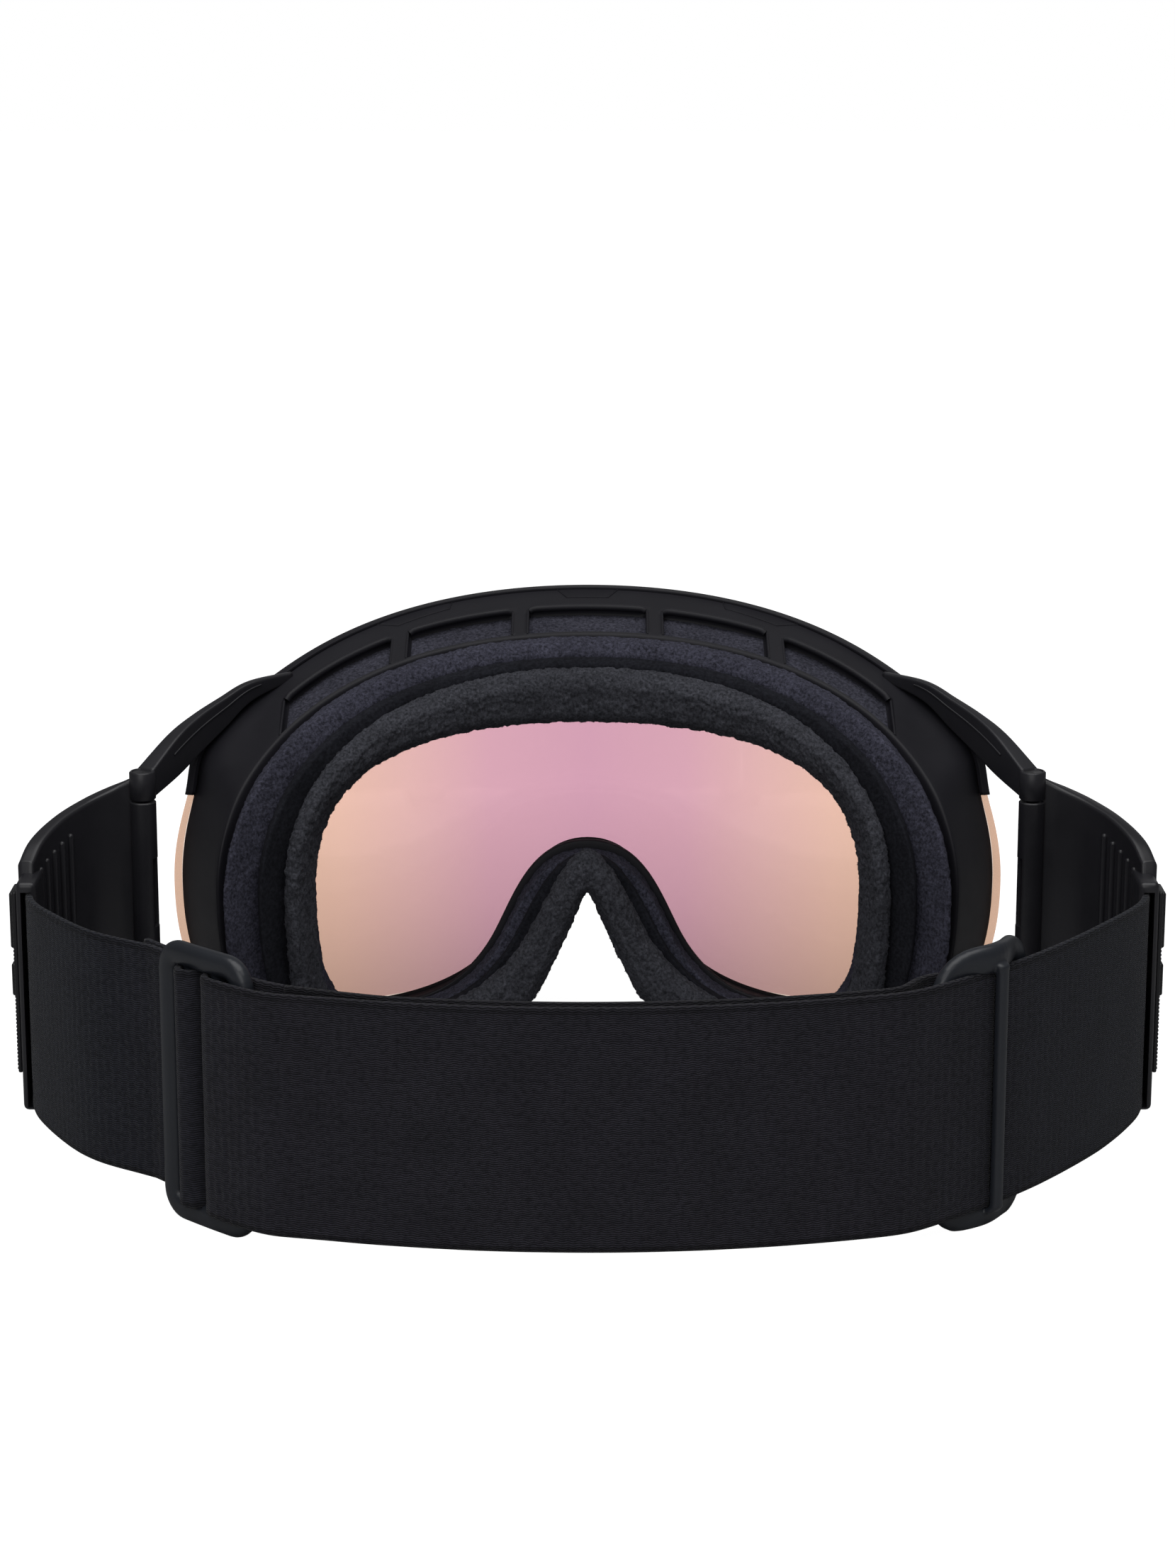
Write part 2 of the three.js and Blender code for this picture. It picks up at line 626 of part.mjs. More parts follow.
const material = (color, roughness, metalness = 0, more = {}) => {
  return new THREE.MeshStandardMaterial({ color, roughness, metalness, ...more });
};
const materials = {
  frame: material(0x17171b, 0.45),
  rim: material(0x1b1b1f, 0.4),
  outerLens: material(0xe0a0b8, 0.15, 0.1, { transparent: true, opacity: 0.75 }),
  innerLens: material(0xf0dce2, 0.1, 0, { transparent: true, opacity: 0.35 }),
  spacer: material(0x222226, 0.95),
  foamBase: material(0x23232d, 1),
  foamMiddle: material(0x14141a, 0.9),
  foamContact: material(0x24262b, 1),
  ventFoam: material(0x1c1c24, 1),
  arm: material(0x19191d, 0.4),
  pin: material(0x55565c, 0.35, 0.9),
  outrigger: material(0x1a1b20, 0.35),
  cover: material(0x101114, 0.3),
  anchor: material(0x1c1d22, 0.4),
  strap: material(0x16171b, 0.9),
  strapReturn: material(0x141519, 0.9),
  buckle: material(0x22262e, 0.35),
};

const goggles = new THREE.Group();

function add(name, geometry, surface) {
  const mesh = new THREE.Mesh(geometry, surface);
  mesh.name = name;
  goggles.add(mesh);
}

function mirroredX(geometry) {
  const points = geometry.toNonIndexed().attributes.position;
  const corners = Array.from({ length: points.count }, (_, i) => new THREE.Vector3().fromBufferAttribute(points, i));
  corners.forEach((p) => p.setX(-p.x));
  for (let i = 0; i < corners.length; i += 3) {
    [corners[i + 1], corners[i + 2]] = [corners[i + 2], corners[i + 1]];
  }
  return new THREE.BufferGeometry().setFromPoints(corners);
}

function addPair(name, geometry, surface) {
  add("left_" + name, geometry, surface);
  add("right_" + name, mirroredX(geometry), surface);
}

add("frame_shell", frameShell(), materials.frame);
add("brow_rim", browRim(), materials.rim);
add("outer_lens", lensSheet(masks.lens, gap, 1.4), materials.outerLens);
add("lens_spacer", lensSpacer(), materials.spacer);
add("inner_lens", lensSheet(masks.innerLens, 5, 0.9), materials.innerLens);
add("face_foam_base", foamBase(), materials.foamBase);
add("face_foam_middle", foamMiddle(), materials.foamMiddle);
add("face_foam_contact", foamContact(), materials.foamContact);
add("top_vent_foam", topVentFoam(), materials.ventFoam);
add("left_lower_vent_foam", lowerVentFoam(1), materials.ventFoam);
add("right_lower_vent_foam", lowerVentFoam(-1), materials.ventFoam);
addPair("upper_hinge_arm", hingeArm(upperArmStops, hingeTop - hinge.knuckle), materials.arm);
addPair("lower_hinge_arm", hingeArm(lowerArmStops, hingeBottom), materials.arm);
addPair("hinge_pin", hingePin(), materials.pin);
addPair("outrigger", outrigger(), materials.outrigger);
addPair("outrigger_cover", outriggerCover(), materials.cover);
addPair("strap_anchor", strapAnchor(), materials.anchor);
add("strap_left", strapLeft(), materials.strap);
add("strap_back", strapBack(), materials.strap);
add("strap_return", strapReturn(), materials.strapReturn);
add("strap_right", strapRight(), materials.strap);
add("left_buckle", leftBuckle(), materials.buckle);
add("sliding_buckle", slidingBuckle(), materials.buckle);

export default goggles;
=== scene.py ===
import math
import bpy
import numpy as np
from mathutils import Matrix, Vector


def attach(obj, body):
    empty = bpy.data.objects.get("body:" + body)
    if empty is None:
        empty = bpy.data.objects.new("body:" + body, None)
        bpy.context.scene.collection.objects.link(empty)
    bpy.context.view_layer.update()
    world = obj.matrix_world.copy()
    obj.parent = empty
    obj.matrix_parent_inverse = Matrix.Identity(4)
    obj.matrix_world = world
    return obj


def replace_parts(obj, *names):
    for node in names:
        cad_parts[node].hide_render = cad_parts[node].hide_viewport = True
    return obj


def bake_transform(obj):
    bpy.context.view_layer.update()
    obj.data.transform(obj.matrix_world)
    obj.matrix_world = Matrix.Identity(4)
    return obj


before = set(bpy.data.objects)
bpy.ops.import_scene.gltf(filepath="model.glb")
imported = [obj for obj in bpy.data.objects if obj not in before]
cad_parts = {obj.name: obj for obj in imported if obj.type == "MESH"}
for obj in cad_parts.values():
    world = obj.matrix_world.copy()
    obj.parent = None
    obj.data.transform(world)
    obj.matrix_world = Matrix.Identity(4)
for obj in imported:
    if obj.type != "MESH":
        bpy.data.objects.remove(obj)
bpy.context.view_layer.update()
mm = 0.001  # shapes are worked out in millimetres and stored in metres

# ---------- small mesh helpers ----------


def meshPiece(name, points, faces, materials=(), faceMaterial=None, uv=None):
    mesh = bpy.data.meshes.new(name)
    mesh.from_pydata((np.asarray(points, float) * mm).tolist(), [], [tuple(f) for f in faces])
    for material in materials:
        mesh.materials.append(material)
    if faceMaterial is not None:
        mesh.polygons.foreach_set("material_index", np.asarray(faceMaterial, np.int32))
    if uv is not None:
        layer = mesh.uv_layers.new(name="weave")
        corner = np.zeros(len(mesh.loops), np.int32)
        mesh.loops.foreach_get("vertex_index", corner)
        layer.data.foreach_set("uv", np.asarray(uv, np.float32)[corner].ravel())
    mesh.polygons.foreach_set("use_smooth", np.ones(len(mesh.polygons), bool))
    mesh.update()
    piece = bpy.data.objects.new(name, mesh)
    bpy.context.scene.collection.objects.link(piece)
    return piece


def signedVolume(points, faces):
    p = np.asarray(points, float)
    quads = np.array([f if len(f) == 4 else (*f, f[0]) for f in faces])
    a, b, c, d = (p[quads[:, k]] for k in range(4))
    return ((a * np.cross(b, c)).sum() + (a * np.cross(c, d)).sum()) / 6


def outward(points, faces):
    return faces if signedVolume(points, faces) > 0 else [tuple(reversed(f)) for f in faces]


def gridFaces(rows, columns, ringRows=False, ringColumns=True):
    i = np.arange(rows if ringRows else rows - 1)[:, None]
    j = np.arange(columns if ringColumns else columns - 1)[None, :]
    i1, j1 = (i + 1) % rows, (j + 1) % columns
    quads = np.stack([i * columns + j, i * columns + j1, i1 * columns + j1, i1 * columns + j], -1)
    return [tuple(q) for q in quads.reshape(-1, 4).tolist()]


# Sections (count, corners, 3) joined along their first axis and capped by fans at the ends.
def loftMesh(sections, ringed=False):
    sections = np.asarray(sections, float)
    count, around = sections.shape[:2]
    points = sections.reshape(-1, 3)
    faces = gridFaces(count, around, ringed)
    if not ringed:
        points = np.vstack([points, sections[0].mean(0), sections[-1].mean(0)])
        first, last = len(points) - 2, len(points) - 1
        start = (count - 1) * around
        for k in range(around):
            n = (k + 1) % around
            faces.append((k, first, n))
            faces.append((start + k, start + n, last))
    return points, outward(points, faces)


# Each corner of closed sections becomes a small curve that starts a radius away from it.
def roundedSections(sections, radii, steps=4):
    sections = np.asarray(sections, float)
    rows = []
    corners = sections.shape[1]
    for k in range(corners):
        here, before, after = sections[:, k], sections[:, k - 1], sections[:, (k + 1) % corners]
        radius = radii[k] if hasattr(radii, "__len__") else radii

        def pulled(other):
            away = other - here
            length = np.linalg.norm(away, axis=1, keepdims=True) + 1e-9
            return here + away / length * np.minimum(radius, 0.45 * length)

        a, b = pulled(before), pulled(after)
        for t in np.linspace(0, 1, steps + 1):
            rows.append((1 - t) ** 2 * a + 2 * t * (1 - t) * here + t * t * b)
    return np.stack(rows, 1)


def evenSections(sections, count):
    out = np.zeros((len(sections), count, 3))
    for i, section in enumerate(sections):
        closed = np.vstack([section, section[:1]])
        run = np.concatenate([[0], np.cumsum(np.linalg.norm(np.diff(closed, axis=0), axis=1))])
        at = np.linspace(0, run[-1], count, endpoint=False)
        for axis in range(3):
            out[i, :, axis] = np.interp(at, run, closed[:, axis])
    return out


def latticeNoise(points, cell, seed):
    p = np.asarray(points) / cell
    base = np.floor(p).astype(np.int64)
    f = p - base
    f = f * f * (3 - 2 * f)
    total = np.zeros(len(p))
    for dx in (0, 1):
        for dy in (0, 1):
            for dz in (0, 1):
                x, y, z = base[:, 0] + dx, base[:, 1] + dy, base[:, 2] + dz
                h = (x * 73856093) ^ (y * 19349663) ^ (z * 83492791) ^ (seed * 2654435)
                h = ((h ^ (h >> 13)) * 1274126177) & 0xFFFFFFFF
                value = ((h ^ (h >> 16)) & 0xFFFF) / 32767.5 - 1
                weight = np.where(dx, f[:, 0], 1 - f[:, 0]) * np.where(dy, f[:, 1], 1 - f[:, 1])
                total += value * weight * np.where(dz, f[:, 2], 1 - f[:, 2])
    return total


def gridNormals(grid):
    along = np.roll(grid, -1, 0) - np.roll(grid, 1, 0)
    around = np.roll(grid, -1, 1) - np.roll(grid, 1, 1)
    normal = np.cross(along, around)
    return normal / (np.linalg.norm(normal, axis=2, keepdims=True) + 1e-12)


def joinPieces(name, pieces):
    bpy.ops.object.select_all(action="DESELECT")
    for piece in pieces:
        piece.select_set(True)
    bpy.context.view_layer.objects.active = pieces[0]
    bpy.ops.object.join()
    joined = bpy.context.view_layer.objects.active
    joined.name = name
    joined.data.name = name
    return joined


# The evaluated mesh replaces the piece's own, and its modifiers go.
def settle(piece):
    bpy.context.view_layer.update()
    graph = bpy.context.evaluated_depsgraph_get()
    mesh = bpy.data.meshes.new_from_object(piece.evaluated_get(graph))
    piece.modifiers.clear()
    piece.data = mesh
    mesh.name = piece.name
    return piece


def cutAway(piece, *tools):
    for tool in tools:
        cutter = piece.modifiers.new("cut", "BOOLEAN")
        cutter.operation = "DIFFERENCE"
        cutter.solver = "EXACT"
        cutter.object = tool
    settle(piece)
    for tool in tools:
        bpy.data.objects.remove(tool)
    return piece


def softenEdges(piece, width, segments=3, angle=32):
    bevel = piece.modifiers.new("soften", "BEVEL")
    bevel.width = width * mm
    bevel.segments = segments
    bevel.limit_method = "ANGLE"
    bevel.angle_limit = math.radians(angle)
    bevel.harden_normals = False
    settle(piece)
    piece.data.polygons.foreach_set("use_smooth", np.ones(len(piece.data.polygons), bool))
    piece.data.set_sharp_from_angle(angle=math.radians(50))
    return piece


def blockPiece(name, x, y, z, material):
    corners = [(x[i], y[j], z[k]) for i in (0, 1) for j in (0, 1) for k in (0, 1)]
    faces = [(0, 1, 3, 2), (4, 6, 7, 5), (0, 4, 5, 1), (2, 3, 7, 6), (0, 2, 6, 4), (1, 5, 7, 3)]
    return meshPiece(name, corners, outward(corners, faces), [material])


# A turned part from (radius, height) pairs, upright about x, y.
def turnedPiece(name, profile, x, y, material, sides=48):
    angles = np.linspace(0, 2 * math.pi, sides, endpoint=False)
    sections = [[(x + r * math.cos(a), y + r * math.sin(a), z) for a in angles] for r, z in profile]
    points, faces = loftMesh(sections)
    return meshPiece(name, points, faces, [material])


def mirroredPiece(piece, name):
    mesh = piece.data.copy()
    co = np.zeros(len(mesh.vertices) * 3, np.float32)
    mesh.vertices.foreach_get("co", co)
    co[0::3] *= -1
    mesh.vertices.foreach_set("co", co)
    mesh.flip_normals()
    mesh.update()
    mesh.name = name
    other = bpy.data.objects.new(name, mesh)
    bpy.context.scene.collection.objects.link(other)
    return other


# ---------- materials ----------


# A node whose inputs are plain values or links from other nodes' outputs.
def addNode(tree, kind, inputs=None, **settings):
    node = tree.nodes.new(kind)
    for setting, value in settings.items():
        setattr(node, setting, value)
    for socket, value in (inputs or {}).items():
        if isinstance(value, bpy.types.NodeSocket):
            tree.links.new(value, node.inputs[socket])
        else:
            node.inputs[socket].default_value = value
    return node


def newMaterial(name, color, roughness, **sockets):
    material = bpy.data.materials.new(name)
    material.use_nodes = True
    shader = material.node_tree.nodes["Principled BSDF"]
    shader.inputs["Base Color"].default_value = (*color, 1)
    shader.inputs["Roughness"].default_value = roughness
    for socket, value in sockets.items():
        shader.inputs[socket.replace("_", " ")].default_value = value
    return material, material.node_tree, shader


def objectPlace(tree):
    place = addNode(tree, "ShaderNodeTexCoord")
    return addNode(tree, "ShaderNodeSeparateXYZ", {"Vector": place.outputs["Object"]}).outputs


def objectNoise(tree, scale, detail=3, roughness=0.6):
    place = addNode(tree, "ShaderNodeTexCoord")
    noise = addNode(tree, "ShaderNodeTexNoise", {
        "Vector": place.outputs["Object"], "Scale": scale, "Detail": detail, "Roughness": roughness,
    })
    return noise.outputs["Fac"]


def rampFrom(tree, source, stops):
    ramp = addNode(tree, "ShaderNodeValToRGB", {"Fac": source})
    elements = ramp.color_ramp.elements
    while len(elements) < len(stops):
        elements.new(0.5)
    for element, (position, color) in zip(elements, stops):
        element.position = position
        element.color = (*color, 1)
    return ramp.outputs["Color"]


def rangeFrom(tree, source, low, high, fromLow=0.0, fromHigh=1.0):
    spread = addNode(tree, "ShaderNodeMapRange", {
        "Value": source, "From Min": fromLow, "From Max": fromHigh, "To Min": low, "To Max": high,
    })
    return spread.outputs["Result"]


def mathNode(tree, operation, *values):
    return addNode(tree, "ShaderNodeMath", dict(enumerate(values)), operation=operation).outputs[0]


def scaledColor(tree, color, share):
    node = addNode(tree, "ShaderNodeVectorMath", {0: color, "Scale": share}, operation="SCALE")
    return node.outputs["Vector"]


def addBump(tree, shader, height, strength, distance):
    bump = addNode(tree, "ShaderNodeBump", {"Strength": strength, "Distance": distance, "Height": height})
    tree.links.new(bump.outputs["Normal"], shader.inputs["Normal"])


plasticSettings = {
    "frame": dict(color=(0.0150, 0.0145, 0.0188), roughness=0.5, grain=0.12, specular=0.28),
    "rim": dict(color=(0.0152, 0.0147, 0.0190), roughness=0.5, grain=0.1, specular=0.2),
    "arm": dict(color=(0.0185, 0.0182, 0.0225), roughness=0.38, grain=0.08, specular=0.5),
    "outrigger": dict(color=(0.0165, 0.0162, 0.0198), roughness=0.34, grain=0.05, specular=0.55),
    "cover": dict(color=(0.010, 0.010, 0.012), roughness=0.33, grain=0.1, specular=0.45),
    "buckle": dict(color=(0.0180, 0.0208, 0.0275), roughness=0.35, grain=0.05, specular=0.6),
    "anchor": dict(color=(0.012, 0.012, 0.014), roughness=0.45, grain=0.1, specular=0.4),
}


# Moulded plastic: a fine grain, slow changes of gloss and slightly paler rubbed patches.
def plastic(name, color, roughness, grain, specular):
    material, tree, shader = newMaterial(name, color, roughness, Specular_IOR_Level=specular)
    slow = objectNoise(tree, 55, 4)
    paler = tuple(min(1, c * 1.25) for c in color)
    gloss = rangeFrom(tree, slow, roughness - 0.04, roughness + 0.06, 0.3, 0.7)
    tree.links.new(rampFrom(tree, slow, [(0.35, color), (0.75, paler)]), shader.inputs["Base Color"])
    tree.links.new(gloss, shader.inputs["Roughness"])
    addBump(tree, shader, objectNoise(tree, 3200, 2), grain, 0.00006)
    return material


# light is the tips' colour, partly a painted highlight; dark is the pits' colour, partly painted shade.
foamSettings = {
    "foam_base": dict(dark=(0.022, 0.022, 0.030), light=(0.090, 0.090, 0.128), cell=1500, strength=0.9),
    "foam_middle": dict(dark=(0.009, 0.0092, 0.0125), light=(0.023, 0.024, 0.031), cell=1300, strength=0.5),
    "foam_contact": dict(dark=(0.026, 0.027, 0.032), light=(0.090, 0.092, 0.110), cell=1500, strength=0.9),
    "vent_foam": dict(dark=(0.022, 0.022, 0.030), light=(0.084, 0.084, 0.112), cell=1500, strength=0.9),
}


# Fleece and open foam: grain with painted shade in its pits and a painted highlight on its tips, and a soft sheen at
# glancing angles.
def foam(name, dark, light, cell, strength):
    material, tree, shader = newMaterial(
        name, dark, 1.0, Specular_IOR_Level=0.15, Sheen_Weight=0.25, Sheen_Roughness=0.55
    )
    shader.inputs["Sheen Tint"].default_value = (*light, 1)
    fine, slow = objectNoise(tree, cell, 4, 0.7), objectNoise(tree, 90, 3)
    middle = tuple(0.55 * a + 0.45 * b for a, b in zip(dark, light))
    # Partly the foam's own grain, partly painted shade in the pits and a painted highlight on the tips.
    tips = rampFrom(tree, fine, [(0.36, dark), (0.5, middle), (0.66, light)])
    patchy = scaledColor(tree, tips, rangeFrom(tree, slow, 0.84, 1.16, 0.3, 0.7))
    tree.links.new(patchy, shader.inputs["Base Color"])
    addBump(tree, shader, fine, strength, 0.00025)
    return material


# In metres: a row of floats, its zigzag, the selvedge, and where painted shade with a cool cast comes in towards the
# sides.
strapWeave = dict(
    row=0.00044, zigzag=0.0021, swing=1.25, selvedge=0.0014, halfWidth=0.024, sideFrom=0.055, sideTo=0.105,
)


# Woven elastic: rows of short slanted floats read from the band's own UV, in metres.
def webbing(name, dark, light, tint):
    weave, turn = strapWeave, 2 * math.pi
    material, tree, shader = newMaterial(
        name, dark, 0.85, Specular_IOR_Level=0.22, Sheen_Weight=0.12, Sheen_Roughness=0.4
    )
    uv = addNode(tree, "ShaderNodeUVMap", uv_map="weave").outputs["UV"]
    split = addNode(tree, "ShaderNodeSeparateXYZ", {"Vector": uv})
    along, across = split.outputs["X"], split.outputs["Y"]
    stray = addNode(tree, "ShaderNodeTexNoise", {"Vector": uv, "Scale": 900, "Detail": 2}).outputs["Fac"]
    swing = mathNode(tree, "SINE", mathNode(tree, "MULTIPLY", along, turn / weave["zigzag"]))
    drift = mathNode(tree, "MULTIPLY", stray, 3.2)
    phase = mathNode(tree, "MULTIPLY_ADD", across, turn / weave["row"], drift)
    rows = mathNode(tree, "SINE", mathNode(tree, "MULTIPLY_ADD", swing, weave["swing"], phase))
    height = rangeFrom(tree, rows, 0, 1, -1, 1)
    floats = mathNode(tree, "MULTIPLY", height, rangeFrom(tree, stray, 0.45, 1.25, 0.3, 0.7))
    cloth = rampFrom(tree, floats, [(0.1, dark), (0.85, light)])
    # Painted shade: the strap is darkened and cooled towards the goggles' sides, by its place in X.
    side = mathNode(tree, "ABSOLUTE", objectPlace(tree)["X"])
    sideShadeShare = rangeFrom(tree, side, 0, 1, weave["sideFrom"], weave["sideTo"])
    sideShaded = addNode(tree, "ShaderNodeMix", {"Factor": sideShadeShare, "A": cloth, "B": (*tint, 1)},
                   data_type="RGBA", blend_type="MULTIPLY")
    fromMiddle = mathNode(tree, "ABSOLUTE", mathNode(tree, "SUBTRACT", across, weave["halfWidth"]))
    edge = weave["halfWidth"] - weave["selvedge"]
    inside = rangeFrom(tree, fromMiddle, 1, 0.55, edge, edge + 0.0003)
    slow = rangeFrom(tree, objectNoise(tree, 120, 3), 0.88, 1.12, 0.3, 0.7)
    shade = mathNode(tree, "MULTIPLY", inside, slow)
    tree.links.new(scaledColor(tree, sideShaded.outputs["Result"], shade), shader.inputs["Base Color"])
    addBump(tree, shader, floats, 0.7, 0.00026)
    return material


lensTint = {
    # share of half the lens width, then the colour that white takes through it
    "stops": [(0.0, (0.775, 0.418, 0.540)), (0.25, (0.815, 0.452, 0.545)), (0.45, (0.90, 0.545, 0.525)),
              (0.62, (0.95, 0.60, 0.485)), (0.8, (0.92, 0.60, 0.43)), (1.0, (0.90, 0.57, 0.41))],
    "halfWidth": 0.0902,
    "dim": {"low": 0.004, "high": 0.050, "least": 0.60},
}


# Tinted see-through sheet; mirror is the share of light its coating throws back.
def lensMaterial(name, mirror, tinted=True):
    material = bpy.data.materials.new(name)
    material.use_nodes = True
    tree = material.node_tree
    tree.nodes.clear()
    coating = (0.95, 0.62, 0.60, 1) if tinted else (0.8, 0.8, 0.82, 1)
    clear = addNode(tree, "ShaderNodeBsdfTransparent", {"Color": (0.97, 0.97, 0.97, 1)})
    gloss = addNode(tree, "ShaderNodeBsdfPrincipled", {"Base Color": coating, "Metallic": 1.0, "Roughness": 0.04})
    share = addNode(tree, "ShaderNodeMixShader", {"Fac": mirror, 1: clear.outputs[0], 2: gloss.outputs[0]})
    addNode(tree, "ShaderNodeOutputMaterial", {"Surface": share.outputs[0]})
    if tinted:
        where, dim = objectPlace(tree), lensTint["dim"]
        side = mathNode(tree, "ABSOLUTE", where["X"])
        color = rampFrom(tree, rangeFrom(tree, side, 0, 1, 0, lensTint["halfWidth"]), lensTint["stops"])
        height = rangeFrom(tree, where["Z"], dim["least"], 1.0, dim["low"], dim["high"])
        tree.links.new(scaledColor(tree, color, height), clear.inputs["Color"])
    return material


# The lens's cut edge lets through less light than its face.
def lensEdgeMaterial():
    material, tree, shader = newMaterial("lensEdge", (0.80, 0.56, 0.42), 0.35, Specular_IOR_Level=0.3)
    tint = rampFrom(tree, objectNoise(tree, 40, 2), [(0.3, (0.84, 0.68, 0.58)), (0.7, (0.90, 0.74, 0.64))])
    clear = addNode(tree, "ShaderNodeBsdfTransparent", {"Color": tint})
    share = addNode(tree, "ShaderNodeMixShader", {"Fac": 0.18, 1: clear.outputs[0], 2: shader.outputs[0]})
    tree.links.new(share.outputs[0], tree.nodes["Material Output"].inputs["Surface"])
    return material


def steel():
    material, tree, shader = newMaterial("pinSteel", (0.06, 0.06, 0.068), 0.38, Metallic=0.9)
    gloss = rangeFrom(tree, objectNoise(tree, 900, 3), 0.28, 0.5, 0.3, 0.7)
    tree.links.new(gloss, shader.inputs["Roughness"])
    addBump(tree, shader, objectNoise(tree, 2600, 2), 0.12, 0.00004)
    return material


plastics = {name: plastic(name + "Plastic", **s) for name, s in plasticSettings.items()}
foams = {name: foam(name + "Fleece", **s) for name, s in foamSettings.items()}
# The last colour is painted shade with a cool cast, multiplied in towards the goggles' sides.
strapCloth = webbing("strapWeave", (0.0100, 0.0097, 0.0130), (0.0435, 0.041, 0.0555), (0.8, 0.92, 0.95))
# The return is the strap's own webbing, given darker colours as painted shade where it runs inside the outer layer.
shadedReturnCloth = webbing("returnWeaveShaded", (0.0075, 0.0073, 0.0095), (0.030, 0.0285, 0.0385), (0.85, 0.95, 1.0))
spacerRubber = plastic("spacerRubber", (0.014, 0.014, 0.016), 0.8, 0.3, 0.2)
print("materials made")

# ---------- geometry node trees ----------


def nodeTree(name, inputs):
    tree = bpy.data.node_groups.new(name, "GeometryNodeTree")
    tree.is_modifier = True
    tree.interface.new_socket("Geometry", in_out="INPUT", socket_type="NodeSocketGeometry")
    for socket, kind in inputs.items():
        tree.interface.new_socket(socket, in_out="INPUT", socket_type="NodeSocket" + kind)
    tree.interface.new_socket("Geometry", in_out="OUTPUT", socket_type="NodeSocketGeometry")
    start = tree.nodes.new("NodeGroupInput")
    end = tree.nodes.new("NodeGroupOutput")
    return tree, start.outputs, end.inputs


def finishTree(tree, start, end, geometry):
    real = addNode(tree, "GeometryNodeRealizeInstances", {"Geometry": geometry})
    paint = addNode(tree, "GeometryNodeSetMaterial", {
        "Geometry": real.outputs["Geometry"], "Material": start["Material"],
    })
    tree.links.new(paint.outputs["Geometry"], end["Geometry"])
    return tree


def roundSweep(tree, curve, radius, sides):
    ring = addNode(tree, "GeometryNodeCurvePrimitiveCircle", {"Radius": radius, "Resolution": sides})
    sweep = addNode(tree, "GeometryNodeCurveToMesh", {
        "Curve": curve, "Profile Curve": ring.outputs["Curve"], "Fill Caps": True,
    })
    return sweep.outputs["Mesh"]


# A round bead along every edge line of the mesh.
def makeBeadTree():
    tree, start, end = nodeTree("beadAlongLine", {"Radius": "Float", "Sides": "Int", "Material": "Material"})
    curve = addNode(tree, "GeometryNodeMeshToCurve", {"Mesh": start["Geometry"]}).outputs["Curve"]
    bead = roundSweep(tree, curve, start["Radius"], start["Sides"])
    smooth = addNode(tree, "GeometryNodeSetShadeSmooth", {"Geometry": bead})
    return finishTree(tree, start, end, smooth.outputs["Geometry"])


# Round-ended upright ribs, or short stitches, spaced evenly along a line.
def makeRibTree():
    inputs = {"Count": "Int", "Radius": "Float", "Length": "Float", "Material": "Material"}
    tree, start, end = nodeTree("ribsAlongLine", inputs)
    tips = []
    for share in (0.5, -0.5):
        height = mathNode(tree, "MULTIPLY", start["Length"], share)
        tips.append(addNode(tree, "ShaderNodeCombineXYZ", {"Z": height}).outputs[0])
    bar = addNode(tree, "GeometryNodeCurvePrimitiveLine", {"Start": tips[1], "End": tips[0]})
    parts = [roundSweep(tree, bar.outputs["Curve"], start["Radius"], 10)]
    ball = addNode(tree, "GeometryNodeMeshUVSphere", {"Segments": 10, "Rings": 6, "Radius": start["Radius"]})
    for tip in tips:
        moved = addNode(tree, "GeometryNodeTransform", {"Geometry": ball.outputs["Mesh"], "Translation": tip})
        parts.append(moved.outputs["Geometry"])
    whole = addNode(tree, "GeometryNodeJoinGeometry")
    for part in parts:
        tree.links.new(part, whole.inputs["Geometry"])
    smooth = addNode(tree, "GeometryNodeSetShadeSmooth", {"Geometry": whole.outputs["Geometry"]})
    curve = addNode(tree, "GeometryNodeMeshToCurve", {"Mesh": start["Geometry"]}).outputs["Curve"]
    spaced = addNode(tree, "GeometryNodeCurveToPoints", {"Curve": curve, "Count": start["Count"]}, mode="COUNT")
    copies = addNode(tree, "GeometryNodeInstanceOnPoints", {
        "Points": spaced.outputs["Points"], "Instance": smooth.outputs["Geometry"],
    })
    return finishTree(tree, start, end, copies.outputs["Instances"])


# Short tapered fibres that stand on the surface, leaning at random.
def makeFuzzTree():
    inputs = {"Density": "Float", "Length": "Float", "Thickness": "Float", "Seed": "Int", "Material": "Material"}
    tree, start, end = nodeTree("fibresOnSurface", inputs)
    scatter = addNode(tree, "GeometryNodeDistributePointsOnFaces", {
        "Mesh": start["Geometry"], "Density": start["Density"], "Seed": start["Seed"],
    }, distribute_method="RANDOM")
    fibre = addNode(tree, "GeometryNodeMeshCone", {
        "Vertices": 3, "Radius Top": 0, "Radius Bottom": start["Thickness"], "Depth": start["Length"],
    }, fill_type="NONE")
    lean = addNode(tree, "FunctionNodeRandomValue", {
        "Min": (-0.9, -0.9, -3.1), "Max": (0.9, 0.9, 3.1), "Seed": start["Seed"],
    }, data_type="FLOAT_VECTOR")
    size = addNode(tree, "FunctionNodeRandomValue", {
        "Min": 0.45, "Max": 1.0, "Seed": start["Seed"],
    }, data_type="FLOAT")
    copies = addNode(tree, "GeometryNodeInstanceOnPoints", {
        "Points": scatter.outputs["Points"], "Rotation": scatter.outputs["Rotation"],
        "Instance": fibre.outputs["Mesh"], "Scale": size.outputs["Value"],
    })
    turned = addNode(tree, "GeometryNodeRotateInstances", {
        "Instances": copies.outputs["Instances"], "Rotation": lean.outputs["Value"],
    })
    return finishTree(tree, start, end, turned.outputs["Instances"])


beadTree, ribTree, fuzzTree = makeBeadTree(), makeRibTree(), makeFuzzTree()


# The tree's result on the piece, as a plain mesh.
def grow(piece, tree, **values):
    modifier = piece.modifiers.new(tree.name, "NODES")
    modifier.node_group = tree
    for item in tree.interface.items_tree:
        if item.in_out == "INPUT" and item.name in values:
            modifier[item.identifier] = values[item.name]
    return settle(piece)


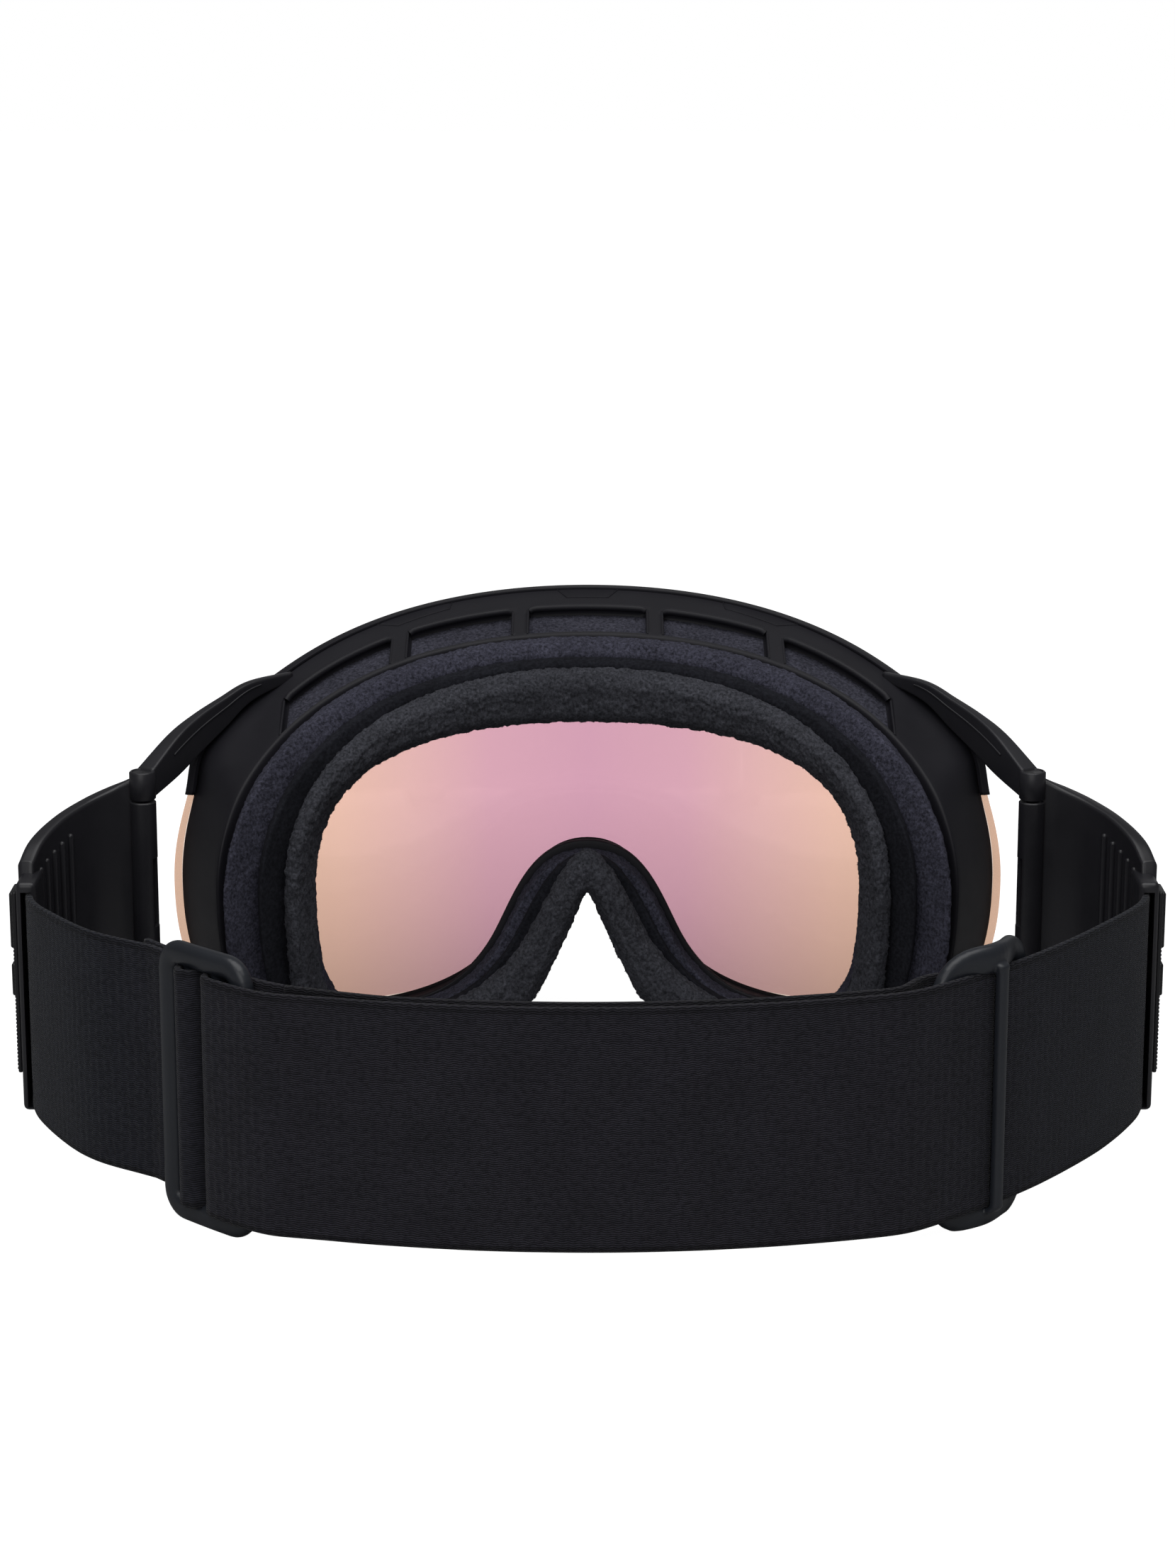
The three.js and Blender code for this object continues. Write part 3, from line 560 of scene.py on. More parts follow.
# Open lines as loose edges, for a tree to follow.
def linePiece(name, lines):
    points, edges = [], []
    for line in lines:
        first = len(points)
        points += [tuple(p) for p in (np.asarray(line) * mm).tolist()]
        edges += [(first + k, first + k + 1) for k in range(len(line) - 1)]
    mesh = bpy.data.meshes.new(name)
    mesh.from_pydata(points, edges, [])
    piece = bpy.data.objects.new(name, mesh)
    bpy.context.scene.collection.objects.link(piece)
    return piece


# ---------- the mask's outlines, in the same curves as the CAD ----------

sizes = dict(
    lensRadius=108, lensCentreY=18, frameSetback=2.6, wall=2.0, base=8, middle=3, gap=0.3,
    strapWidth=48, strapThickness=1.6, strapBottom=3.7, barRadius=1.7,
)
masks = {
    "frameFront": dict(nose=33.7, flank=(17, 14.7), lobe=(48, 0), side=(88.9, 40.7), top=96.7, brow=0.51, swell=3.3),
    "frameRear": dict(nose=37.2, flank=(17.5, 20.7), lobe=(46, 0), side=(79.4, 41.7), top=90.1),
    "opening": dict(nose=42.4, flank=(20.8, 22), lobe=(42, 7.6), side=(62.5, 40.7), top=76.7),
    "lens": dict(nose=31.7, flank=(16.5, 12.7), lobe=(48, 0.6), side=(90.4, 40.7), top=94.6, brow=0.51, swell=3.3),
    "innerLens": dict(nose=37.2, flank=(20.6, 15.6), lobe=(48, 3.2), side=(84.6, 40.7), top=89.4, brow=0.51),
    "rim": dict(nose=31.7, flank=(16.5, 12.7), lobe=(48, 0.6), side=(90.7, 40.7), top=96.7, brow=0.503, swell=3.4),
    "base": dict(nose=36.7, flank=(14.5, 18.7), lobe=(45, 0.8), side=(77.4, 41.7), top=89.6),
    "middle": dict(nose=34.7, flank=(12.5, 15.7), lobe=(43, 1.7), side=(71.1, 41.7), top=87.1),
    "contact": dict(nose=33.9, flank=(10.5, 11.7), lobe=(38, 2.4), side=(65, 42.7), top=85.1, cheek=0.89, jowl=0.86,
                    peak=0.12, reach=0.85),
    "sight": dict(nose=43.6, flank=(12.3, 26.4), lobe=(40, 8.5), side=(58.9, 39.7), top=73.2, shoulder=0.72, brow=0.83,
                  cheek=0.88, jowl=0.8, peak=0.3),
}
handles = dict(shoulder=0.79, brow=0.535, cheek=0.83, jowl=0.67, peak=0.6, reach=0.5)
noseSlope = np.array([0.45, -0.89])
pieceShare = (4, 4, 8, 14)


def grown(mask, by):
    return {
        **mask,
        "nose": mask["nose"] - by,
        "flank": (mask["flank"][0] - 0.9 * by, mask["flank"][1] - 0.4 * by),
        "lobe": (mask["lobe"][0], mask["lobe"][1] - by),
        "side": (mask["side"][0] + by, mask["side"][1]),
        "top": mask["top"] + by,
    }


def mix(a, b, t):
    return a + (b - a) * t


def maskCurves(mask):
    m = {**handles, **mask}
    nose, top = m["nose"], m["top"]
    flank, lobe, side = (np.array(m[k], float) for k in ("flank", "lobe", "side"))
    arch, foot = (nose - flank[1]) * m["reach"], (flank[1] - lobe[1]) * 0.6
    outer = (mix(lobe[0], side[0], m["jowl"]), lobe[1])
    return [
        np.array([(0, nose), (flank[0] * m["peak"], nose), flank - noseSlope * arch, flank]),
        np.array([flank, flank + noseSlope * foot, ((flank[0] + lobe[0]) / 2, lobe[1]), lobe]),
        np.array([lobe, outer, (side[0], mix(side[1], lobe[1], m["cheek"])), side]),
        np.array([side, (side[0], mix(side[1], top, m["shoulder"])), (side[0] * m["brow"], top), (0, top)]),
    ]


def bezier(control, t):
    t = np.asarray(t, float)[:, None]
    a, b, c, d = control
    return (1 - t) ** 3 * a + 3 * t * (1 - t) ** 2 * b + 3 * t * t * (1 - t) * c + t ** 3 * d


def planArc(radius, centreY):
    return lambda x: centreY - np.sqrt(radius ** 2 - np.minimum(np.abs(x), radius * 0.999) ** 2)


def lensPlan(inward):
    return planArc(sizes["lensRadius"] - inward, sizes["lensCentreY"])


def flangePlan(back):
    return planArc(94 - back, 28)


def contactPlan(forward):
    return planArc(82 + forward, 34)


def placed(flat, plan):
    return np.column_stack([flat[:, 0], plan(flat[:, 0]), flat[:, 1]])


def fullRing(half):
    return np.vstack([half, half[1:-1][::-1] * np.array([-1, 1])])


# The front outlines stand out a little where the brow turns down to the side.
def swelled(mask, flat):
    lift = mask.get("swell", 0) * np.exp(-(((flat[:, 1] - 70) / 7.5) ** 2)) * (flat[:, 0] > 50)
    return np.column_stack([flat[:, 0] + lift, flat[:, 1]])


def halfLine(mask, fine):
    curves = maskCurves(mask)
    parts = [bezier(c, np.linspace(0, 1, pieceShare[i] * fine + 1))[1 if i else 0:] for i, c in enumerate(curves)]
    return swelled(mask, np.vstack(parts))


def outline(mask, plan, fine=6, shrink=1.0, centreZ=68):
    flat = fullRing(halfLine(mask, fine))
    flat = np.column_stack([flat[:, 0] * shrink, centreZ + (flat[:, 1] - centreZ) * shrink])
    return placed(flat, plan)


frontPlan, rearPlan = lensPlan(sizes["frameSetback"]), flangePlan(0)

# ---------- frame shell ----------

frameDetail = dict(
    fine=8, alongs=(0.03, 0.09, 0.15, 0.22, 0.38, 0.54, 0.62, 0.68, 0.76, 0.82, 0.88),
    ventAlong=(0.46, 0.955), lowerAlong=(0.3, 0.75), ridge=0.75, lip=0.3,
    topVents=[(-66.8, -43.6), (-40.2, -16.8), (-13.4, 13.4), (16.8, 40.2), (43.6, 66.8)],
    lowerVents=[(-73, -64), (-61, -52), (52, 61), (64, 73)],
)


def bisectT(control, x):
    low, high = 0.0, 1.0
    rising = control[3][0] > control[0][0]
    for _ in range(40):
        t = (low + high) / 2
        if (bezier(control, [t])[0, 0] < x) == rising:
            low = t
        else:
            high = t
    return (low + high) / 2


# Stations on the frame's half outline: front and rear parameters, with lines at the vents' sides.
def shellStations():
    front, rear = maskCurves(masks["frameFront"]), maskCurves(masks["frameRear"])
    marks = {2: [52, 61, 64, 73], 3: [13.4, 16.8, 40.2, 43.6, 66.8]}
    matched = {2: ([48, 52, 73, 88.9], [46, 52, 73, 79.4]), 3: ([0, 66.8, 88.9], [0, 66.8, 79.4])}
    stations = []
    for piece in range(4):
        ts = list(np.linspace(0, 1, pieceShare[piece] * frameDetail["fine"] + 1))
        for x in marks.get(piece, []):
            t = bisectT(front[piece], x)
            ts = [u for u in ts if abs(u - t) > 0.004 or u in (0, 1)] + [t]
        for t in sorted(ts)[1 if piece else 0:]:
            rearT = t
            if piece in matched and 0 < t < 1:
                x = bezier(front[piece], [t])[0, 0]
                rearT = bisectT(rear[piece], np.interp(x, *matched[piece]))
            stations.append((piece, t, rearT))
    return stations


stations = shellStations()


def stationLine(mask, which):
    curves = maskCurves(mask)
    return swelled(mask, np.vstack([bezier(curves[s[0]], [s[which]]) for s in stations]))


def frameWall(by):
    front = fullRing(stationLine(grown(masks["frameFront"], by), 1))
    rear = fullRing(stationLine(grown(masks["frameRear"], by), 2))
    return placed(front, frontPlan), placed(rear, flangePlan(0 if by == 0 else -sizes["wall"]))


def frameShell():
    outerFront, outerRear = frameWall(0)
    innerFront, innerRear = frameWall(-sizes["wall"])
    openRear = placed(fullRing(stationLine(masks["opening"], 2)), rearPlan)
    openFront = placed(fullRing(stationLine(masks["opening"], 2)), flangePlan(-sizes["wall"]))
    pieces = [s[0] for s in stations]
    ringPieces = pieces + pieces[1:-1][::-1]
    count = len(ringPieces)
    alongs = sorted({*frameDetail["alongs"], *frameDetail["ventAlong"], *frameDetail["lowerAlong"]})
    rows, kinds = [], []

    def addRow(row, kind=None):
        rows.append(row)
        kinds.append(kind)

    def corner(a, c, b, steps=4):
        for t in np.linspace(0, 1, steps + 1)[1:-1]:
            addRow((1 - t) ** 2 * a + 2 * t * (1 - t) * c + t * t * b)

    for v in alongs:
        addRow(mix(outerFront, outerRear, v), ("out", v))
    flange = [mix(outerRear, openRear, f) for f in (0.06, 0.3, 0.6, 0.94)]
    corner(rows[-1], outerRear, flange[0], 6)
    for row in flange:
        addRow(row)
    corner(flange[-1], openRear, mix(openRear, openFront, 0.5))
    addRow(mix(openRear, openFront, 0.5))
    corner(mix(openRear, openFront, 0.5), openFront, mix(openFront, innerRear, 0.06))
    for f in (0.06, 0.5, 0.96):
        addRow(mix(openFront, innerRear, f))
    for v in reversed(alongs):
        addRow(mix(innerFront, innerRear, v), ("in", v))
    corner(rows[-1], innerFront, mix(innerFront, outerFront, 0.5))
    addRow(mix(innerFront, outerFront, 0.5))
    corner(mix(innerFront, outerFront, 0.5), outerFront, rows[0])
    points = np.vstack(rows)
    rowAt = {kind: k for k, kind in enumerate(kinds) if kind}
    faces = []
    ringX = (outerFront[:, 0] + np.roll(outerFront[:, 0], -1)) / 2

    def openCell(j, v):
        piece = max(ringPieces[j], ringPieces[(j + 1) % count])
        names = ("topVents", "ventAlong") if piece == 3 else ("lowerVents", "lowerAlong")
        spans, (low, high) = (frameDetail[name] for name in names)
        return piece >= 2 and low < v < high and any(a < ringX[j] < b for a, b in spans)

    def cellGone(j, i):
        if not 0 <= i < len(alongs) - 1:
            return False
        return openCell(j % count, (alongs[i] + alongs[i + 1]) / 2)

    for r in range(len(rows)):
        nextRow = (r + 1) % len(rows)
        a, b = kinds[r], kinds[nextRow]
        wall = a and b and a[0] == b[0]
        i = alongs.index(min(a[1], b[1])) if wall else None
        for j in range(count):
            if wall and cellGone(j, i):
                continue
            k = (j + 1) % count
            faces.append((r * count + j, r * count + k, nextRow * count + k, nextRow * count + j))
    # the windows' own walls
    for i in range(len(alongs) - 1):
        for j in range(count):
            if not cellGone(j, i):
                continue
            k = (j + 1) % count
            low, high = alongs[i], alongs[i + 1]

            def at(side, v, column):
                return rowAt[(side, v)] * count + column

            if not cellGone(j - 1, i):
                faces.append((at("out", low, j), at("out", high, j), at("in", high, j), at("in", low, j)))
            if not cellGone(j + 1, i):
                faces.append((at("out", high, k), at("out", low, k), at("in", low, k), at("in", high, k)))
            if not cellGone(j, i - 1):
                faces.append((at("out", low, k), at("out", low, j), at("in", low, j), at("in", low, k)))
            if not cellGone(j, i + 1):
                faces.append((at("out", high, j), at("out", high, k), at("in", high, k), at("in", high, j)))
    return meshPiece("frameShell", points, outward(points, faces), [plastics["frame"]])


wallLines = {}
for pieceIndex in (2, 3):
    for key, maskName in (("front", "frameFront"), ("rear", "frameRear")):
        curve = bezier(maskCurves(masks[maskName])[pieceIndex], np.linspace(0, 1, 400))
        curve = curve if curve[-1, 0] > curve[0, 0] else curve[::-1]
        wallLines[(key, pieceIndex)] = curve


# A point on the frame's wall at x, along from the front edge to the rear one, and out from its surface.
def wallPoint(x, along, out, piece=3):
    def edge(at, share):
        ends = []
        for key, plan in (("front", frontPlan), ("rear", rearPlan)):
            curve = wallLines[(key, piece)]
            ends.append(np.array([at, float(plan(at)), np.interp(abs(at), curve[:, 0], curve[:, 1])]))
        return mix(ends[0], ends[1], share)

    tangent = edge(x + 0.5, along) - edge(x - 0.5, along)
    normal = np.cross(tangent, edge(x, 1) - edge(x, 0))
    normal /= np.linalg.norm(normal)
    if (normal[2] > 0) != (piece == 3):
        normal = -normal
    return edge(x, along) + normal * out


# A fine bead at each window's sides and a fuller, rounded ridge along its front edge.
def ventLips():
    windows = [(span, frameDetail["ventAlong"], 3) for span in frameDetail["topVents"]]
    windows += [(span, frameDetail["lowerAlong"], 2) for span in frameDetail["lowerVents"]]
    sides, ridges = [], []
    for (x0, x1), along, piece in windows:
        for x in (x0, x1):
            sides.append([wallPoint(x, v, -0.12, piece) for v in np.linspace(*along, 14)])
        xs = np.linspace(x0 + 0.4, x1 - 0.4, max(6, int((x1 - x0) / 0.8)))
        lift = np.minimum(1, np.minimum(xs - x0, x1 - xs) / 1.6)
        outs = 0.12 - 0.75 * (1 - lift) ** 2
        ridges.append([wallPoint(x, along[0] - 0.006, out, piece) for x, out in zip(xs, outs)])
    fine = grow(linePiece("ventBeads", sides), beadTree,
                Radius=frameDetail["lip"] * mm, Sides=10, Material=plastics["frame"])
    full = grow(linePiece("ventRidges", ridges), beadTree,
                Radius=frameDetail["ridge"] * mm, Sides=16, Material=plastics["frame"])
    return joinPieces("ventLips", [fine, full])


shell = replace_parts(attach(frameShell(), "mask"), "frame_shell")
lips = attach(ventLips(), "mask")
print("frame shell and vents made")

# ---------- brow rim and its tabs ----------

rimDetail = dict(
    hookAt=0.16, steps=110, skirt=4.2, tabLift=0.14, tabDepth=0.7, seam=0.16,
    # each tab: its corners as x and share of the wall's depth, front edge first
    tabs=[
        [(-7.4, 0.03), (7.4, 0.03), (4.7, 0.235), (-4.7, 0.235)],
        [(30.6, 0.03), (48.5, 0.03), (42.6, 0.245), (31.2, 0.19)],
        [(-48.5, 0.03), (-30.6, 0.03), (-31.2, 0.19), (-42.6, 0.245)],
    ],
)


def browLine(mask, plan):
    curve = swelled(mask, bezier(maskCurves(mask)[3], np.linspace(rimDetail["hookAt"], 1, rimDetail["steps"])))
    right = placed(curve, plan)
    return np.vstack([right, right[:-1][::-1] * np.array([-1, 1, 1])])


def browRim():
    outerFront = browLine(masks["rim"], lensPlan(0))
    outerBack = browLine(masks["rim"], lensPlan(sizes["frameSetback"] - 0.05))
    inner = grown(masks["lens"], sizes["gap"])
    skirt = browLine(grown(masks["frameFront"], 0.12), lensPlan(rimDetail["skirt"]))
    tucked = browLine(grown(masks["frameFront"], -0.5), lensPlan(rimDetail["skirt"]))
    innerFront = browLine(inner, lensPlan(0))
    lines = np.stack([outerFront, outerBack, skirt, tucked, innerFront], 1)
    points, faces = loftMesh(roundedSections(lines, [0.9, 0.6, 0.2, 0.2, 0.5], 5))
    return meshPiece("rimBand", points, faces, [plastics["rim"]])


# A thin raised patch on the wall, its edge rolled down into the wall.
def tabPatch(corners, index):
    corners = np.array(corners, float)
    across, deep = 26, 12
    u = np.linspace(0, 1, across)
    v = np.linspace(0, 1, deep)
    grid = []
    for b in v:
        for a in u:
            x, along = mix(mix(corners[0], corners[1], a), mix(corners[3], corners[2], a), b)
            near = min(a * 14, (1 - a) * 14, (1 - b) * 5, 1.0)
            grid.append(wallPoint(x, along, rimDetail["tabLift"] * math.sin(near * math.pi / 2) - 0.05))
    top = np.array(grid)
    low = top - np.array([0, 0, rimDetail["tabDepth"]])
    count = len(top)
    faces = gridFaces(deep, across, False, False)
    faces += [tuple(reversed([i + count for i in f])) for f in gridFaces(deep, across, False, False)]
    edge = [*range(across), *[r * across + across - 1 for r in range(1, deep)]]
    edge += [(deep - 1) * across + c for c in range(across - 2, -1, -1)]
    edge += [r * across for r in range(deep - 2, 0, -1)]
    for k, i in enumerate(edge):
        j = edge[(k + 1) % len(edge)]
        faces.append((j, i, i + count, j + count))
    points = np.vstack([top, low])
    return meshPiece(f"rimTab{index}", points, outward(points, faces), [plastics["rim"]])


def tabSeams():
    seams = []
    for corners in rimDetail["tabs"]:
        path = [corners[1], corners[2], corners[3], corners[0]]
        line = []
        for (x0, v0), (x1, v1) in zip(path, path[1:]):
            line += [wallPoint(mix(x0, x1, t), mix(v0, v1, t), 0.02) for t in np.linspace(0, 1, 12, endpoint=False)]
        line.append(wallPoint(*path[-1], 0.02))
        seams.append(line)
    return grow(linePiece("tabSeams", seams), beadTree,
                Radius=rimDetail["seam"] * mm, Sides=8, Material=plastics["rim"])


rim = joinPieces("browRim", [browRim(), *[tabPatch(c, i) for i, c in enumerate(rimDetail["tabs"])], tabSeams()])
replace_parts(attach(rim, "mask"), "brow_rim")
print("brow rim made")

# ---------- lenses and spacer ----------

lensDetail = dict(
    fine=6, edgeBand=0.984, shrinks=[0.02, *np.linspace(0.08, 0.96, 20), 0.984, 0.996, 1.0],
    outerThickness=1.4, innerInset=5, innerThickness=0.9,
)


def lensSheet(name, mask, inset, thickness, materials):
    shrinks = lensDetail["shrinks"]
    fronts = [outline(mask, lensPlan(inset), lensDetail["fine"], s) for s in shrinks]
    backs = [outline(mask, lensPlan(inset + thickness), lensDetail["fine"], s) for s in shrinks]
    middle = outline(mask, lensPlan(inset + thickness / 2), lensDetail["fine"], 1.0008)
    rows = [*fronts, middle, *backs[::-1]]
    points, faces = loftMesh(np.stack(rows))
    count = rows[0].shape[0]
    edgeRow = next(i for i, s in enumerate(shrinks) if s >= lensDetail["edgeBand"])
    pick = []
    for face in faces:
        lowRow = min(i // count for i in face if i < len(rows) * count)
        highRow = max(i // count for i in face if i < len(rows) * count)
        if highRow <= edgeRow:
            pick.append(0)
        elif lowRow >= len(rows) - 1 - edgeRow:
            pick.append(1)
        else:
            pick.append(2)
    return meshPiece(name, points, faces, materials, pick)


outerLens = lensSheet("outerLens", masks["lens"], sizes["gap"], lensDetail["outerThickness"],
                      [lensMaterial("lensMirror", 0.16), lensMaterial("lensBack", 0.02, False), lensEdgeMaterial()])
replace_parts(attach(outerLens, "mask"), "outer_lens")
clearLens = lensMaterial("clearLens", 0.015, False)
innerLens = lensSheet("innerLens", masks["innerLens"], lensDetail["innerInset"], lensDetail["innerThickness"],
                      [clearLens] * 3)
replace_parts(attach(innerLens, "mask"), "inner_lens")


spacerDetail = dict(
    width=1.8, front=2.6, back=4.5,
    outerNose=dict(nose=36.6, flank=(19.6, 14.4), lobe=(48, 1.4)),
    innerNose=dict(nose=37.6, flank=(20.8, 14.8), lobe=(48, 2.3)),
)


def spacerRing():
    d = spacerDetail
    outer = {**masks["innerLens"], **d["outerNose"]}
    inner = {**grown(masks["innerLens"], -d["width"]), **d["innerNose"]}
    spots = ((outer, "front"), (outer, "back"), (inner, "back"), (inner, "front"))
    rows = [outline(mask, lensPlan(d[depth])) for mask, depth in spots]
    points, faces = loftMesh(roundedSections(np.stack(rows, 1), 0.3, 3), True)
    return meshPiece("lensSpacer", points, faces, [spacerRubber])


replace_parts(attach(spacerRing(), "mask"), "lens_spacer")
print("lenses made")

# ---------- foam layers ----------

foamDetail = dict(
    # the layers step outwards over the nose
    baseNose=dict(nose=40.7, flank=(18.6, 23.4), peak=0.6), middleNose=dict(nose=42, flank=(15.8, 24.2), peak=0.45),
    baseRelief=[(0.5, 0.17), (1.1, 0.14), (4, 0.12)], middleRelief=[(0.6, 0.07), (1.6, 0.06)],
    contactRelief=[(0.65, 0.28), (1.1, 0.2), (3.5, 0.1)],
)


# A foam ring swelled by code: the die-cut section is rounded, then given grain, lumps and a soft edge.
def foamRing(name, rows, radii, around, relief, material, seed):
    grid = evenSections(roundedSections(np.stack(rows, 1), radii, 5), around)
    flat = grid.reshape(-1, 3)
    quads = gridFaces(*grid.shape[:2], True)
    normal = gridNormals(grid).reshape(-1, 3)
    if abs(signedVolume(flat + normal * 0.01, quads)) < abs(signedVolume(flat, quads)):
        normal = -normal
    amount = np.zeros(len(flat))
    for k, (size, height) in enumerate(relief):
        amount += height * latticeNoise(flat, size, seed + k)
    return meshPiece(name, flat + normal * amount[:, None], loftMesh(grid, True)[1], [material])


def foamLayers():
    b, m, g = sizes["base"], sizes["middle"], sizes["gap"]
    fine = 16
    hole = {**grown(masks["sight"], 1), **foamDetail["baseNose"]}
    baseRows = [outline(masks["base"], flangePlan(0.3), fine), outline(masks["base"], flangePlan(b - 2), fine),
                outline(masks["middle"], flangePlan(b), fine), outline(hole, flangePlan(b), fine),
                outline(hole, flangePlan(0.3), fine)]
    base = foamRing("faceFoamBase", baseRows, [0.3, 1.6, 0.3, 0.6, 0.3], 84, foamDetail["baseRelief"],
                    foams["foam_base"], 11)
    hole = {**grown(masks["sight"], 0.5), **foamDetail["middleNose"]}
    front, back = b + 0.05, b + g + m
    middleRows = [outline(grown(masks["middle"], -0.4), flangePlan(front), fine),
                  outline(grown(masks["middle"], -1.2), flangePlan(back - 0.6), fine),
                  outline(masks["contact"], flangePlan(back), fine), outline(hole, flangePlan(back), fine),
                  outline(hole, flangePlan(front), fine)]
    middle = foamRing("faceFoamMiddle", middleRows, [0.2, 0.5, 0.2, 0.3, 0.2], 60, foamDetail["middleRelief"],
                      foams["foam_middle"], 23)
    front = flangePlan(b + m + g + 0.1)
    contact, sight = masks["contact"], masks["sight"]
    contactRows = [outline(mask, plan, fine) for mask, plan in (
        (grown(contact, -0.3), front), (contact, contactPlan(3)), (grown(contact, -2.5), contactPlan(0)),
        (grown(sight, 2), contactPlan(0.3)), (sight, contactPlan(3)), (sight, front),
    )]
    contactPiece = foamRing("faceFoamContact", contactRows, [0.3, 1.5, 1.6, 1.3, 1.4, 0.3], 96,
                            foamDetail["contactRelief"], foams["foam_contact"], 37)
    return base, middle, contactPiece


baseFoam, middleFoam, contactFoam = foamLayers()


# Density in fibres to the square millimetre.
def fibres(name, source, density, length, thickness, seed, material):
    coat = bpy.data.objects.new(name, source.data.copy())
    bpy.context.scene.collection.objects.link(coat)
    return grow(coat, fuzzTree, Density=density * 1e6, Length=length * mm, Thickness=thickness * mm,
                Seed=seed, Material=material)


contactFuzz = fibres("contactFibres", contactFoam, 1.4, 0.38, 0.09, 5, foams["foam_contact"])
baseFuzz = fibres("baseFibres", baseFoam, 0.7, 0.32, 0.08, 8, foams["foam_base"])
foamPieces = [(baseFoam, "foam_base", 0.8), (middleFoam, "foam_middle", 0.8), (contactFoam, "foam_contact", 0.7)]
for piece, slotName, fill in foamPieces:
    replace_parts(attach(piece, "mask"), f"face_{slotName}")
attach(contactFuzz, "mask")
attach(baseFuzz, "mask")
print("foam layers made")


def ventFoam(name, xs, alongs, outs, piece, seed, stepsX, stepsV=14):
    grid = []
    for x in np.linspace(*xs, stepsX):
        lower = [wallPoint(x, v, outs[0], piece) for v in np.linspace(alongs[1], alongs[0], 4)]
        upper = [wallPoint(x, v, outs[1], piece) for v in np.linspace(alongs[0], alongs[1], stepsV)]
        grid.append(np.array(upper + lower))
    grid = np.array(grid)
    flat = grid.reshape(-1, 3)
    points, faces = loftMesh(grid)
    rise = 0.16 * latticeNoise(flat, 0.7, seed) + 0.1 * latticeNoise(flat, 1.6, seed + 1)
    points[:len(flat), 2] += rise * (1 if piece == 3 else -1)
    return meshPiece(name, points, faces, [foams["vent_foam"]])


ventPieces = [
    (ventFoam("topVentFoam", (-68, 68), (0.41, 0.93), (-5, -2.1), 3, 51, 260), "top_vent_foam"),
    (ventFoam("leftLowerVentFoam", (50, 74), (0.28, 0.74), (-4.6, -2.3), 2, 61, 48), "left_lower_vent_foam"),
    (ventFoam("rightLowerVentFoam", (-74, -50), (0.28, 0.74), (-4.6, -2.3), 2, 71, 48), "right_lower_vent_foam"),
]
for piece, node in ventPieces:
    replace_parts(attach(piece, "mask"), node)
print("vent foam made")

# ---------- strap route ----------

degrees = math.pi / 180
strapArcs = [(195, 17 * degrees), (20, 22.5 * degrees), (195, 24.3 * degrees), (8, 26.2 * degrees)]
arcStarts = np.concatenate([[0], np.cumsum([r * a for r, a in strapArcs])])
strapHalf = sizes["strapThickness"] / 2
strapTop = sizes["strapBottom"] + sizes["strapWidth"]
wrapRadius = sizes["barRadius"] + 0.45 + strapHalf
anchorSpot = dict(radius=1.3, y=-3)


def strapPoint(s, w=0.0):
    x, y, heading, rest = 0.0, 90 - strapHalf, 0.0, abs(s)
    for radius, turn in strapArcs:
        part = min(rest / radius, turn)
        x += radius * (math.sin(heading + part) - math.sin(heading))
        y += radius * (math.cos(heading + part) - math.cos(heading))
        heading += part
        rest -= part * radius
    x += rest * math.cos(heading) + w * math.sin(heading)
    y += -rest * math.sin(heading) + w * math.cos(heading)
    return np.array([-x if s < 0 else x, y])


slotX = strapPoint(arcStarts[4])[0]
slotEndY = anchorSpot["y"] + anchorSpot["radius"] + 0.5
slotEndS = arcStarts[4] + strapPoint(arcStarts[4])[1] - slotEndY
buckleBars = dict(near=69.3, backBand=76.1, sideBand=84, far=90.7, lift=2.2)
sliderBars = dict(near=73, middle=84.2, far=94.8, lift=wrapRadius, arch=3.2)
innerW, returnW = -buckleBars["lift"] - wrapRadius, -3.2
returnStart = 60


def stretch(start, stop, w=0.0, every=3.0):
    steps = max(2, round(abs(stop - start) / every))
    return [strapPoint(mix(start, stop, i / steps), w) for i in range(steps + 1)]


def wrapRound(s, w, fromDegrees, toDegrees, steps=14):
    angles = [mix(fromDegrees, toDegrees, i / steps) * degrees for i in range(steps + 1)]
    return [strapPoint(s + wrapRadius * math.sin(a), w + wrapRadius * math.cos(a)) for a in angles]


# Evenly spaced points on the route, with its kinks eased.
def easedRoute(points, spacing, softSpan=None, passes=6, softPasses=90):
    points = np.array(points)
    run = np.concatenate([[0], np.cumsum(np.linalg.norm(np.diff(points, axis=0), axis=1))])
    at = np.linspace(0, run[-1], max(4, int(run[-1] / spacing)))
    line = np.column_stack([np.interp(at, run, points[:, k]) for k in (0, 1)])
    for _ in range(passes):
        line[1:-1] = (line[:-2] + 2 * line[1:-1] + line[2:]) / 4
    if softSpan:
        first, last = (int(v / spacing) for v in softSpan)
        for _ in range(softPasses):
            part = line[first:last]
            part[1:-1] = (part[:-2] + 2 * part[1:-1] + part[2:]) / 4
    return line


strapDetail = dict(spacing=0.8, columns=30, ripple=0.05, waveLength=7.0, slotInset=1.15, taper=42)


